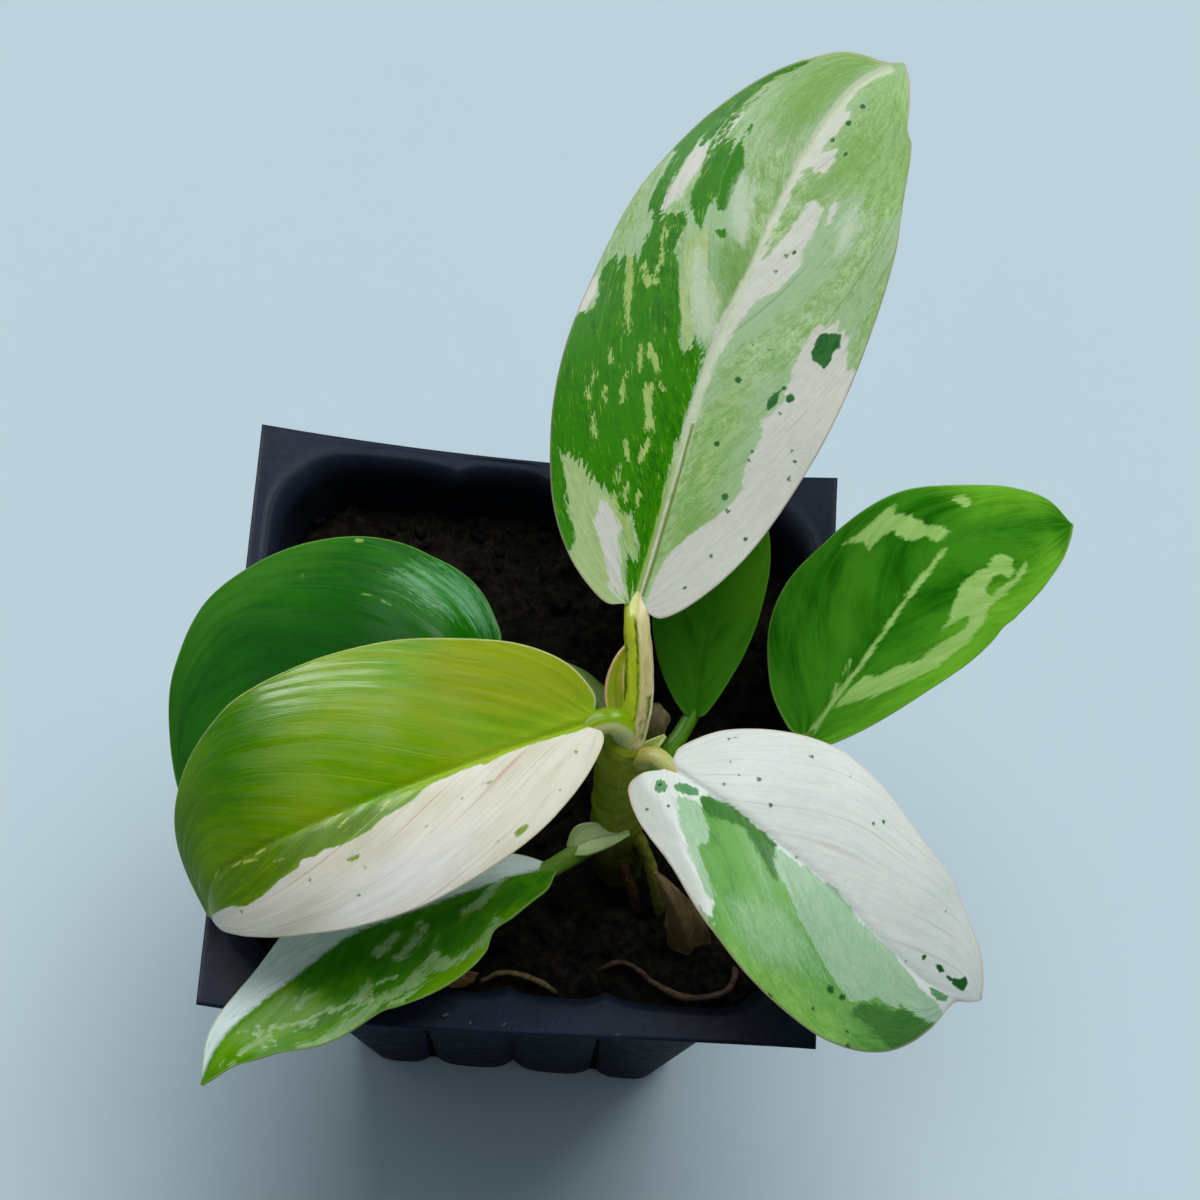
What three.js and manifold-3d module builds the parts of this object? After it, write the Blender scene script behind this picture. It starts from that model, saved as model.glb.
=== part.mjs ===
// A young variegated climbing aroid with seven leaves, in a square fluted nursery pot.
// Millimetres, +Z up. The origin is the centre of the pot's underside.
import * as THREE from 'three';
import { mergeVertices } from 'three/addons/utils/BufferGeometryUtils.js';
import Module from 'manifold-3d';

const wasm = await Module();
wasm.setup();

// Driving dimensions of the pot
const POT_HEIGHT = 110;
const RIM_HALF = [50, 51];
const RIM_LEAN = [-3, 1];
const RIM_TWIST = -1.2;
const FLANGE_THICK = 0.9;
const WALL = 0.9;
const FLOOR = 1.0;
const BASE_HALF = 31;
const MOUTH_HALF = 46.3;
const FLUTES_AT = [-15.6, 0, 15.6];
const FLUTE_DEPTH = { base: 2.1, mouth: 1.5 };
const CORNER_NOTCH = { base: 3.2, mouth: 4.2 };
const EDGE_BOW = { back: -2.2, front: 1.2 };
const DRAIN_RADIUS = 3.5;
const DRAIN_AT = 20;

// Driving dimensions of the filling and the plant
const CLEARANCE = 0.3;
const SOIL_TOP = 97.6;
const SOIL_BUMP = 0.9;
const SOIL_CLEARANCE = 0.5;
const SOIL_CELLS = 18;
const BLADE_THICK = 0.7;
const STATIONS = 17;
const HALF_COLUMNS = 4;
const TIP_HALF = 0.8;
const CURL_WIDTH = 20;
const RIB_SUNK = 0.2;
const PETIOLE_SIDES = 8;
const STEM_SIDES = 12;
const UP = new THREE.Vector3(0, 0, 1);
const AHEAD = new THREE.Vector3(0, 1, 0);

// Finishes
const finish = (color, roughness) => new THREE.MeshStandardMaterial({ color, roughness, metalness: 0 });
const blackPlastic = finish(0x17191d, 0.45);
const darkMix = finish(0x1d1712, 0.95);
const oliveStem = finish(0x7f9434, 0.45);
const deepGreen = finish(0x2c7a23, 0.35);
const freshGreen = finish(0x6d9a1c, 0.35);
const creamGreen = finish(0xdfe3d2, 0.4);
const dryTan = finish(0x9a7b52, 0.8);
const rootBrown = finish(0x6b4630, 0.8);

const vector = (p) => new THREE.Vector3(...p);
const lerp = (a, b, f) => a + (b - a) * f;

// Closed body from rings of equal count, with a fan over each end, its quads split one way or the other
function loft(rings, otherWay = false) {
  const count = rings[0].length;
  const points = rings.flat();
  const faces = [];
  for (let r = 0; r + 1 < rings.length; r++) {
    for (let k = 0; k < count; k++) {
      const a = r * count + k;
      const b = r * count + (k + 1) % count;
      if (otherWay) faces.push(a, b, b + count, a, b + count, a + count);
      else faces.push(a, b, a + count, b, b + count, a + count);
    }
  }
  const centre = (ring) => ring.reduce((sum, p) => sum.add(p), new THREE.Vector3()).divideScalar(count);
  const last = (rings.length - 1) * count;
  points.push(centre(rings[0]), centre(rings[rings.length - 1]));
  for (let k = 0; k < count; k++) {
    const next = (k + 1) % count;
    faces.push(next, k, points.length - 2);
    faces.push(last + k, last + next, points.length - 1);
  }
  return body(points, faces);
}

// Geometry from points and triangles
function body(points, faces) {
  const geometry = new THREE.BufferGeometry();
  geometry.setAttribute('position', new THREE.Float32BufferAttribute(points.flatMap((p) => p.toArray()), 3));
  geometry.setIndex(faces);
  return geometry;
}

// Solid for joining and cutting
function solid(geometry) {
  geometry.deleteAttribute('normal');
  geometry.deleteAttribute('uv');
  const merged = mergeVertices(geometry);
  return new wasm.Manifold(new wasm.Mesh({
    numProp: 3,
    vertProperties: merged.attributes.position.array,
    triVerts: new Uint32Array(merged.index.array),
  }));
}

// Geometry of a solid, its largest body where a cut leaves a loose scrap
function geometryOf(shape) {
  const { vertProperties, triVerts } = shape.getMesh();
  const geometry = new THREE.BufferGeometry();
  geometry.setAttribute('position', new THREE.BufferAttribute(vertProperties, 3));
  geometry.setIndex(new THREE.BufferAttribute(largestBody(triVerts), 1));
  return geometry;
}

// Triangles of the body with the most faces
function largestBody(triangles) {
  const owner = new Map();
  const root = (v) => {
    while (owner.has(v) && owner.get(v) !== v) v = owner.get(v);
    return v;
  };
  for (let k = 0; k < triangles.length; k += 3) {
    owner.set(root(triangles[k + 1]), root(triangles[k]));
    owner.set(root(triangles[k + 2]), root(triangles[k]));
  }
  const groups = new Map();
  for (let k = 0; k < triangles.length; k += 3) {
    const name = root(triangles[k]);
    if (!groups.has(name)) groups.set(name, []);
    groups.get(name).push(...triangles.slice(k, k + 3));
  }
  return new Uint32Array([...groups.values()].sort((a, b) => b.length - a.length)[0]);
}

// Frames along a smooth curve through the points, carried along without turning about it
function track(points) {
  const curve = new THREE.CatmullRomCurve3(points.map(vector), false, 'catmullrom', 0.5);
  const steps = 120;
  const sides = [];
  const side = curve.getTangentAt(0).cross(UP).normalize();
  for (let k = 0; k <= steps; k++) {
    const along = curve.getTangentAt(k / steps);
    side.addScaledVector(along, -side.dot(along)).normalize();
    sides.push(side.clone());
  }
  const length = curve.getLength();
  const at = (distance) => {
    const share = THREE.MathUtils.clamp(distance / length, 0, 1);
    const along = curve.getTangentAt(share);
    const place = curve.getPointAt(share).addScaledVector(along, distance - share * length);
    const across = sides[Math.round(share * steps)].clone();
    across.addScaledVector(along, -across.dot(along)).normalize();
    return { place, along, across, up: across.clone().cross(along), share };
  };
  return { length, at };
}

// Round rod through the points, with a radius at each, and extra rings between the first few of them
function rod(points, radii, sides, grow = 0, fine = points.length - 1) {
  const curve = new THREE.CatmullRomCurve3(points.map(vector), false, 'catmullrom', 0.5);
  const spans = points.length - 1;
  const start = curve.getTangent(0);
  const across = new THREE.Vector3().crossVectors(start, Math.abs(start.z) > 0.9 ? AHEAD : UP).normalize();
  const stops = points.flatMap((_, k) => (k < fine ? [k, k + 0.5] : [k]));
  const rings = stops.map((stop) => {
    const along = curve.getTangent(stop / spans);
    across.addScaledVector(along, -across.dot(along)).normalize();
    const up = across.clone().cross(along);
    const centre = curve.getPoint(stop / spans);
    if (stop === 0) centre.addScaledVector(along, -grow);
    if (stop === spans) centre.addScaledVector(along, grow);
    const k = Math.min(Math.floor(stop), spans - 1);
    const radius = lerp(radii[k], radii[k + 1], stop - k) + grow;
    return Array.from({ length: sides }, (_, j) => {
      const turn = -2 * Math.PI * j / sides;
      return centre.clone().addScaledVector(across, radius * Math.cos(turn)).addScaledVector(up, radius * Math.sin(turn));
    });
  });
  return loft(rings);
}

// Blade bent from its flat outline: along the rib, folded at it and curled across
function blade(shape, grow = 0, stations = STATIONS, half = HALF_COLUMNS) {
  const path = track(shape.rib);
  const edge = (points) => {
    const tip = [path.length, TIP_HALF * (shape.tip ?? 1)];
    return new THREE.CatmullRomCurve3([...points, tip].map(([a, o]) => new THREE.Vector3(a, o, 0)), false, 'catmullrom', 0.5);
  };
  const edges = [edge(shape.left), edge(shape.right)];
  const thick = BLADE_THICK + 2 * grow;
  const layers = [[], []];
  for (let i = 0; i <= stations; i++) {
    const stretch = i === 0 ? -grow : i === stations ? grow : 0;
    const middle = path.length * i / stations;
    for (let j = -half; j <= half; j++) {
      const out = Math.abs(j) / half;
      const rim = edges[j < 0 ? 0 : 1].getPoint(i / stations);
      const across = Math.sign(j) * (rim.y + grow) * out;
      const { point, normal } = bend(shape, path, lerp(middle, rim.x, out) + stretch, across);
      layers[0].push(point.clone().addScaledVector(normal, thick / 2));
      layers[1].push(point.clone().addScaledVector(normal, -thick / 2));
    }
  }
  const columns = 2 * half + 1;
  const under = layers[0].length;
  const faces = [];
  const quad = (a, b, c, d) => faces.push(a, b, c, a, c, d);
  for (let i = 0; i < stations; i++) {
    for (let j = 0; j < 2 * half; j++) {
      const a = i * columns + j;
      quad(a, a + 1, a + 1 + columns, a + columns);
      faces.push(under + a, under + a + 1 + columns, under + a + 1);
      faces.push(under + a, under + a + columns, under + a + 1 + columns);
    }
    const left = i * columns;
    const right = left + 2 * half;
    quad(left, left + columns, under + left + columns, under + left);
    quad(right, under + right, under + right + columns, right + columns);
  }
  const end = stations * columns;
  for (let j = 0; j < 2 * half; j++) {
    quad(j, under + j, under + j + 1, j + 1);
    quad(end + j, end + j + 1, under + end + j + 1, under + end + j);
  }
  return body([...layers[0], ...layers[1]], faces);
}

// Point and upward normal of the bent blade, from its place along and out from the rib
function bend(shape, path, along, out) {
  const { place, across, up, share } = path.at(along);
  const curl = THREE.MathUtils.degToRad(lerp(...shape.curl, share)) / CURL_WIDTH;
  const foldOf = (side) => THREE.MathUtils.degToRad(lerp(...(side < 0 ? shape.foldLeft : shape.foldRight), share));
  const normalOf = (side) => {
    const angle = foldOf(side) - curl * Math.abs(out);
    return up.clone().multiplyScalar(Math.cos(angle)).addScaledVector(across, -side * Math.sin(angle));
  };
  if (out === 0) {
    return { point: place, normal: normalOf(-1).add(normalOf(1)).normalize() };
  }
  const side = Math.sign(out);
  const fold = foldOf(side);
  const turned = fold - curl * Math.abs(out);
  const reach = (Math.sin(fold) - Math.sin(turned)) / curl;
  const rise = (Math.cos(turned) - Math.cos(fold)) / curl;
  return { point: place.addScaledVector(across, side * reach).addScaledVector(up, rise), normal: normalOf(side) };
}

// Petiole, going on as the rib under the blade
function stalk(leaf, grow = 0) {
  const path = track(leaf.rib);
  const start = leaf.petiole.length;
  const points = [...leaf.petiole];
  const radii = points.map((_, k) => lerp(leaf.thick[0], leaf.thick[1], k / start));
  for (const share of [0.03, 0.12, 0.22, 0.33, 0.45, 0.58, 0.71, 0.84]) {
    const { place, up } = path.at(share * path.length);
    const radius = leaf.thick[1] * (1 - share) ** 1.2 + 0.15;
    points.push(place.addScaledVector(up, RIB_SUNK - radius).toArray());
    radii.push(radius);
  }
  return rod(points, radii, PETIOLE_SIDES, grow, start);
}

// Petiole and any sheaths of a leaf, which the things after it leave room for
function stalkSolid(leaf, grow) {
  let shape = solid(stalk(leaf, grow));
  for (const sheath of leaf.sheaths ?? []) shape = shape.add(solid(blade(sheath, grow, 8, 2)));
  return shape;
}

// The seven leaves: points along the rib, outline as (along, out) from base to tip, fold and curl
// in degrees from base to tip, petiole points from the stem, and petiole radii at its two ends
const LEAVES = {
  leaf_back_large: {
    rib: [[11.5, 9.5, 147], [15.5, 27.5, 154.5], [19.5, 44, 160.5], [25, 59.5, 165.5], [32, 77.5, 170],
      [40, 91, 172], [48, 97, 171.5]],
    left: [[0, 1.5], [-0.5, 5], [4, 11.2], [11, 16.3], [20, 19.8], [32, 22], [46, 22.6], [60, 21.6],
      [72, 18.2], [83, 13.2], [92, 7], [97.5, 1.8]],
    right: [[0, 1.5], [-0.6, 5], [4, 9.8], [12, 14.8], [22, 18.6], [33, 21.3], [46, 22.3], [58, 21.6],
      [70, 19.8], [80, 17], [89, 13.6], [96, 9.5], [99.5, 4]],
    foldLeft: [12, 6], foldRight: [12, 6], curl: [22, 22],
    petiole: [[12.4, -9.2, 135], [13.4, -4, 140], [13, 2, 143.6], [12.2, 7, 146]],
    thick: [2.7, 1.9],
    sheaths: [{
      rib: [[10.4, -6.5, 138], [9.6, -2, 141.2], [10.2, 1.8, 143.4], [11.9, 4.8, 144.8]],
      left: [[0, 1.2], [3.5, 1.9], [8, 1.5]], right: [[0, 1.4], [3.5, 1.8], [8, 1.2]],
      foldLeft: [30, 20], foldRight: [30, 20], curl: [40, 40], tip: 0.5,
    }],
  },
  leaf_left_arching: {
    rib: [[7, -8, 141], [-3, -14, 146], [-13, -19.5, 148], [-27, -26, 147], [-41, -31.5, 140],
      [-50.5, -34.5, 128], [-52, -37, 115]],
    left: [[0, 1.5], [1, 4], [7, 8.5], [16, 13.2], [26, 16.4], [37, 18.2], [48, 17.4], [57, 15.3],
      [66, 12.4], [75, 8.5], [82, 4]],
    right: [[0, 1.5], [-0.6, 4.5], [2.5, 10], [9, 15], [18, 19], [29, 22.4], [41, 24.2], [53, 23.6],
      [61, 22], [68, 18.8], [74, 13], [80, 6]],
    foldLeft: [6, 0], foldRight: [28, 20], curl: [24, 32],
    petiole: [[13, -8.6, 135], [11.2, -7.6, 139], [8.6, -7.6, 140.6]],
    thick: [2.5, 1.9],
  },
  leaf_front_right: {
    rib: [[19, -13.5, 138], [26.5, -19.5, 142], [35, -25.5, 143], [44, -31.5, 141], [54, -38.5, 135],
      [63, -42.5, 127], [72, -42, 119]],
    left: [[0, 1.5], [0, 4], [4, 10], [11, 15], [20, 18.2], [30, 18.6], [40, 17], [50, 16], [60, 13.6],
      [66, 9], [69, 4]],
    right: [[0, 1.5], [-2, 4], [-1.5, 7.5], [4, 10.8], [12, 13.4], [20, 16.8], [30, 19.2], [40, 19],
      [49, 17], [56, 12.8], [61, 6.5], [64.5, 1.6], [68, 0.8]],
    foldLeft: [14, 5], foldRight: [14, 5], curl: [22, 25],
    petiole: [[12.4, -10.6, 130.5], [14.8, -11.4, 134.8], [17.2, -12, 137.2]],
    thick: [2.0, 1.5],
    sheaths: [{
      rib: [[14.8, -11, 133.5], [16.4, -9.9, 136.4], [18.2, -8.4, 138]],
      left: [[0, 1.2], [2, 1.7], [4, 1.2]], right: [[0, 1.2], [2, 1.7], [4, 1.2]],
      foldLeft: [35, 25], foldRight: [35, 25], curl: [50, 50], tip: 0.5,
    }],
  },
  leaf_right_green: {
    rib: [[43, 0.5, 117], [49, 10.5, 121], [56, 22, 123.5], [62.5, 32, 124.5], [69, 36.5, 124],
      [76.5, 39.5, 122], [86.5, 43, 117]],
    left: [[-0.5, 1.5], [0, 4.5], [4, 10.3], [12, 15.8], [21, 17.7], [30, 16.2], [38, 13.4], [47, 10],
      [56, 7.6], [63, 5]],
    right: [[0, 1.5], [1, 3.5], [8, 7.8], [17, 11.8], [26, 15], [35, 16.3], [45, 15.8], [53, 12.6],
      [60, 7.5], [64, 3.2]],
    foldLeft: [10, 0], foldRight: [10, 0], curl: [20, 20],
    petiole: [[12.5, -11.5, 113], [18, -10.8, 115.5], [27, -8, 116.5], [36, -3.6, 116.6]],
    thick: [2.1, 1.4],
  },
  leaf_left_low: {
    rib: [[-10.5, 6.5, 122], [-20, 6.5, 126], [-31.5, 5, 127], [-42.5, 0.5, 125], [-53.5, -6.5, 118],
      [-59.5, -15, 108]],
    left: [[0, 1.5], [-1, 5], [4, 12], [12, 16.5], [22, 19.5], [33, 19.5], [43, 16], [52, 10.5], [59, 4.5]],
    right: [[0, 1.5], [-1.2, 6], [4, 13.5], [12, 18], [21, 21], [31, 22.2], [41, 20.4], [49, 14.5],
      [56, 8.5], [61, 3.6]],
    foldLeft: [10, 5], foldRight: [10, 5], curl: [20, 25],
    petiole: [[12, -9.5, 122], [9.4, -1.4, 124.2], [4.6, 4.2, 124.8], [-3.5, 6.8, 123.6]],
    thick: [2.6, 1.6],
  },
  leaf_front_left_folded: {
    rib: [[2.5, -24, 113], [-4.5, -27, 115.5], [-12, -31, 117], [-20.5, -35.5, 118], [-29, -39.5, 118],
      [-36, -45.5, 117], [-43.5, -52, 115], [-48, -57, 113], [-50.5, -63.5, 110.5]],
    left: [[0, 1.2], [3, 4.4], [6.5, 6], [11, 7.7], [15, 9], [18, 12.2], [23.5, 14.4], [32, 15.3], [41.5, 14.4],
      [49, 12.7], [56.5, 8.8], [62, 6.2], [66.2, 3]],
    right: [[0, 1.2], [4.4, 4.7], [11, 7], [20, 9.2], [30, 9.8], [38, 9.4], [45, 8.2], [53, 5.5], [58, 4],
      [64, 2.2]],
    foldLeft: [30, 20], foldRight: [-28, -20], curl: [20, 20],
    petiole: [[12.2, -13.5, 107.5], [9.3, -17.2, 109.8], [5.8, -21, 111.6]],
    thick: [2.3, 1.4],
    sheaths: [{
      rib: [[5.4, -20.3, 111.6], [7.6, -19.2, 113], [10.4, -18.4, 114.2], [14.6, -17.6, 115]],
      left: [[0, 1.4], [3, 3.4], [6.5, 2.4]], right: [[0, 1.4], [3, 3], [6.5, 2.4]],
      foldLeft: [45, 30], foldRight: [45, 30], curl: [60, 60], tip: 0.5,
    }],
  },
  leaf_back_small: {
    rib: [[24, 3.5, 115], [24.5, 14, 118.5], [25.5, 22.5, 120.5], [27, 30, 121], [28.5, 41, 120],
      [30, 47.5, 118]],
    left: [[0, 1], [1, 2.5], [5, 5.3], [10, 7.6], [16, 9.3], [24, 10], [32, 8.5], [39, 5.5], [43, 2.6]],
    right: [[0, 1], [1, 2.2], [5, 4.4], [11, 6.9], [18, 8.3], [26, 8.2], [33, 7], [40, 4.2], [43.5, 2]],
    foldLeft: [10, 0], foldRight: [10, 0], curl: [20, 20],
    petiole: [[12.8, -9, 106], [17.4, -6.2, 110.8], [20.8, -1.6, 113.4]],
    thick: [2.2, 1.2],
  },
};

// Main stem, from inside the mix up to where the top petioles leave it
const STEM = {
  points: [[14.4, -19, 84], [13.9, -17.4, 97], [12.6, -14.6, 110], [12, -12, 122], [12.1, -9.8, 132], [12.4, -9, 136]],
  radii: [3.6, 4.1, 4.2, 4.1, 3.8, 3.0],
};

// Thin things that lie on the mix or stand at the foot of the stem, with a radius at each point
const RODS = {
  dry_stub: {
    points: [[13, -9, 110], [14.6, -3.2, 115.5], [17.4, 0.8, 123.5]], radii: [2.6, 2.9, 3.0],
    sides: 10, material: dryTan,
  },
  aerial_root_green: {
    points: [[13.4, -13.5, 113.5], [18, -18.6, 107], [20, -22.3, 102], [21.4, -25, 96], [21.8, -26, 91]],
    radii: [1.3, 1.1, 1.05, 1.0, 1.0], sides: 7, material: oliveStem,
  },
  aerial_root_brown: {
    points: [[12.6, -15, 108], [14.6, -20.2, 104.4], [16.6, -23.2, 100], [17.6, -24.8, 96], [18, -25.4, 92]],
    radii: [1.1, 0.95, 0.9, 0.85, 0.8], sides: 6, material: rootBrown,
  },
  surface_root_right: {
    points: [[10.3, -37.7, 95.5], [12.2, -36.3, 98.8], [15.1, -35.2, 99.8], [18, -36.2, 99.7], [21.1, -38.3, 99.4],
      [25.5, -40, 99], [29.6, -40, 99.2], [32.9, -38.6, 99.4], [34.3, -36, 99], [34, -33.4, 97.8], [33.6, -31.6, 95.4]],
    radii: [0.5, 0.6, 0.65, 0.7, 0.8, 0.85, 0.85, 0.85, 0.8, 0.75, 0.7], sides: 6, material: rootBrown,
  },
  surface_root_left: {
    points: [[-8.2, -40.2, 95.6], [-7.2, -39.8, 98.8], [-4.6, -38.7, 100], [-1.3, -38.7, 100], [2.2, -39.6, 99.4],
      [4.4, -40.4, 97.8], [5.6, -40.7, 95.6]],
    radii: [0.55, 0.6, 0.65, 0.65, 0.65, 0.6, 0.5], sides: 6, material: dryTan,
  },
};

// Papery scale standing in the mix against the foot of the stem
const CATAPHYLL = {
  rib: [[27, -34, 93], [26.2, -31.8, 99], [24.4, -28.6, 104.5], [21.6, -25.2, 109], [19.4, -22.8, 111.5]],
  left: [[0, 2.2], [5, 4], [11, 4], [17, 2.4]], right: [[0, 2.2], [5, 3.6], [11, 3.4], [17, 2]],
  foldLeft: [25, 35], foldRight: [25, 35], curl: [60, 60],
};

// Bark chip lying on the mix at the front left
const CHIP = { centre: [-12.2, -39.2, 98.6], size: [5, 2.4, 1.4], turn: 0.4 };

// Share of the height as a lean and twist of the thin pot
function settle(point) {
  const share = point.z / POT_HEIGHT;
  const twist = RIM_TWIST * share * share * point.x * point.y / (RIM_HALF[0] * RIM_HALF[1]);
  return new THREE.Vector3(point.x + RIM_LEAN[0] * share, point.y + RIM_LEAN[1] * share, point.z + twist);
}

// Half size of the wall's outer crest at a height
const wallHalf = (z) => lerp(BASE_HALF, MOUTH_HALF, z / POT_HEIGHT);

// Outline round the pot at a height: upright flutes along each side and a notch at each corner
function outline(z, half) {
  const share = THREE.MathUtils.clamp(z / POT_HEIGHT, 0, 1);
  const depth = lerp(FLUTE_DEPTH.base, FLUTE_DEPTH.mouth, share);
  const notch = lerp(CORNER_NOTCH.base, CORNER_NOTCH.mouth, share);
  const ends = [-(half - notch), ...FLUTES_AT, half - notch];
  const side = [];
  for (let n = 0; n + 1 < ends.length; n++) {
    const atEnd = n === 0 || n + 2 === ends.length;
    for (const x of atEnd ? [-1, -0.76, -0.4, 0.4, 0.76] : [-1, -0.6, 0, 0.6]) {
      const atCorner = (n === 0 && x < 0) || (n + 2 === ends.length && x > 0);
      const dip = (atCorner ? notch : depth) * Math.abs(x) ** 4;
      side.push([half - dip, lerp(ends[n], ends[n + 1], (x + 1) / 2)]);
    }
  }
  const points = [];
  for (const [c, s] of [[1, 0], [0, 1], [-1, 0], [0, -1]]) {
    for (const [x, y] of side) points.push(new THREE.Vector3(c * x - s * y, s * x + c * y, z));
  }
  return points;
}

// Outline pushed out to the edge of the flange, whose front and back edges are a little bowed
function flangeEdge(z) {
  return outline(z, MOUTH_HALF).map((p) => {
    const reach = Math.max(Math.abs(p.x), Math.abs(p.y));
    const [u, v] = [p.x / reach, p.y / reach];
    let bow = 0;
    if (v > 0.999) bow = EDGE_BOW.back * (1 - u * u);
    if (v < -0.999) bow = -EDGE_BOW.front * (1 - u * u) * (1 - u);
    return new THREE.Vector3(u * RIM_HALF[0], v * RIM_HALF[1] + bow, z);
  });
}

// Pot wall, floor and flange, with drain holes
function potSolid() {
  const under = POT_HEIGHT - FLANGE_THICK;
  const rings = [
    outline(0, BASE_HALF - 1.2),
    outline(1.4, wallHalf(1.4)),
    outline(under - 1, wallHalf(under - 1)),
    outline(under, wallHalf(under) + 0.7),
    flangeEdge(under),
    flangeEdge(POT_HEIGHT),
    outline(POT_HEIGHT, MOUTH_HALF + 0.5),
    outline(POT_HEIGHT - 1.3, wallHalf(POT_HEIGHT - 1.3) - WALL),
    outline(FLOOR, wallHalf(FLOOR) - WALL),
  ];
  let shape = solid(loft(rings.map((ring) => ring.map(settle))));
  for (const [x, y] of [[1, 1], [-1, 1], [-1, -1], [1, -1], [1, 0], [0, 1], [-1, 0], [0, -1]]) {
    const hole = new THREE.CylinderGeometry(DRAIN_RADIUS, DRAIN_RADIUS, 4 * FLOOR, 10);
    hole.rotateX(Math.PI / 2).translate(x * DRAIN_AT, y * DRAIN_AT, 0);
    shape = shape.subtract(solid(hole));
  }
  return shape;
}

// Height of the lumpy top of the mix
function soilHeight(x, y) {
  const rough = Math.sin(0.41 * x + 1.3) * Math.cos(0.37 * y - 0.6) + 0.6 * Math.sin(0.83 * x - 0.52 * y)
    + 0.5 * Math.cos(0.95 * y + 0.31 * x + 2.1);
  return SOIL_TOP + 0.6 * SOIL_BUMP * rough;
}

// Mix inside the wall, with plain holes for what stands in it
function soilSolid(standing) {
  const bottom = FLOOR + CLEARANCE;
  const rings = [bottom, POT_HEIGHT - 5].map((z) => outline(z, wallHalf(z) - WALL - SOIL_CLEARANCE).map(settle));
  const air = new THREE.BoxGeometry(120, 120, 40, SOIL_CELLS, SOIL_CELLS, 1);
  const corners = air.attributes.position;
  for (let k = 0; k < corners.count; k++) {
    const [x, y] = [corners.getX(k), corners.getY(k)];
    corners.setZ(k, corners.getZ(k) < 0 ? soilHeight(x, y) : POT_HEIGHT);
  }
  let shape = solid(loft(rings, true)).subtract(solid(air));
  for (const thing of standing) shape = shape.subtract(thing);
  return shape;
}

function chipGeometry(grow = 0) {
  const chip = new THREE.DodecahedronGeometry(1, 0);
  const [x, y, z] = CHIP.size.map((v) => v / 2 + grow);
  chip.scale(x, y, z).rotateZ(CHIP.turn).translate(...CHIP.centre);
  return chip;
}

// The model
const plant = new THREE.Group();
function place(name, shape, material) {
  const mesh = new THREE.Mesh(geometryOf(shape), material);
  mesh.name = name;
  plant.add(mesh);
}

const LEAF_COLOURS = {
  leaf_back_large: freshGreen,
  leaf_left_arching: freshGreen,
  leaf_front_right: creamGreen,
  leaf_right_green: deepGreen,
  leaf_left_low: deepGreen,
  leaf_front_left_folded: deepGreen,
  leaf_back_small: deepGreen,
};

// Each thing is cut clear of those before it, and the mix clear of all that stand in it
const taken = [];
function placeClear(name, material, shapeOf, roomOf = shapeOf) {
  let shape = shapeOf(0);
  for (const other of taken) shape = shape.subtract(other);
  place(name, shape, material);
  taken.push(roomOf(CLEARANCE));
}

placeClear('main_stem', oliveStem, (grow) => solid(rod(STEM.points, STEM.radii, STEM_SIDES, grow)));
for (const [name, leaf] of Object.entries(LEAVES)) {
  placeClear(name, LEAF_COLOURS[name], (grow) => stalkSolid(leaf, grow).add(solid(blade(leaf, grow))),
    (grow) => stalkSolid(leaf, grow));
}
for (const [name, { points, radii, sides, material }] of Object.entries(RODS)) {
  placeClear(name, material, (grow) => solid(rod(points, radii, sides, grow)));
}
placeClear('dry_cataphyll', dryTan, (grow) => solid(blade(CATAPHYLL, grow, 10, 3)));
placeClear('bark_chip', dryTan, (grow) => solid(chipGeometry(grow)));

place('potting_mix', soilSolid(taken), darkMix);
place('pot', potSolid(), blackPlastic);

export default plant;
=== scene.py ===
import bmesh
import bpy
import numpy as np
from mathutils import Matrix, Vector


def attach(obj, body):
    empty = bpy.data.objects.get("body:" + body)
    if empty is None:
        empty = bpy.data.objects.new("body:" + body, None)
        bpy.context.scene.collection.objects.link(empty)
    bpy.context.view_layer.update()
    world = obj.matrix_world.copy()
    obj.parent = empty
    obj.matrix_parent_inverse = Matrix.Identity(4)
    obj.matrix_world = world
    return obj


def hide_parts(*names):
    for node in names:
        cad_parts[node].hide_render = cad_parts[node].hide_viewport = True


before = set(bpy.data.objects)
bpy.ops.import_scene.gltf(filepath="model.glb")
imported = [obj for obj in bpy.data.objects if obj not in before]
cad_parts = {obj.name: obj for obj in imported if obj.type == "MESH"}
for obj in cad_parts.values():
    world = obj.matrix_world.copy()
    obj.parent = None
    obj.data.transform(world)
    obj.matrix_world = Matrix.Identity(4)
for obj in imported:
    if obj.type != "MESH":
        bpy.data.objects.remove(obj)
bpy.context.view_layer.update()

MM = 0.001
UP = np.array([0.0, 0.0, 1.0])
AHEAD = np.array([0.0, 1.0, 0.0])
CURL_WIDTH = 20.0  # the width over which a blade turns by its curl
VEIN_SLANT = 2.2  # millimetres along the rib for each one across the side veins
PATH_STEPS = 600
FAR_OUT = -30.0  # depth of places far outside a marking
NO_RIM = 5.0  # distance from rib or rim at which its colour is gone
SOFT_RADIUS = (1.0, 1.0, 0.4)  # how far light goes in living tissue, by colour
SOFT_SCALE = 0.0008


# Small helpers

def srgb(r, g, b):
    """Linear colour from 8-bit display values."""
    c = np.array([r, g, b]) / 255
    return (*np.where(c <= 0.04045, c / 12.92, ((c + 0.055) / 1.055) ** 2.4), 1.0)


def lerp(a, b, f):
    return a + (b - a) * f


def unit(v):
    return v / np.linalg.norm(v, axis=-1, keepdims=True)


def hump(x, middle, width):
    """Bell curve of height 1."""
    return np.exp(-(((x - middle) / width) ** 2))


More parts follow.
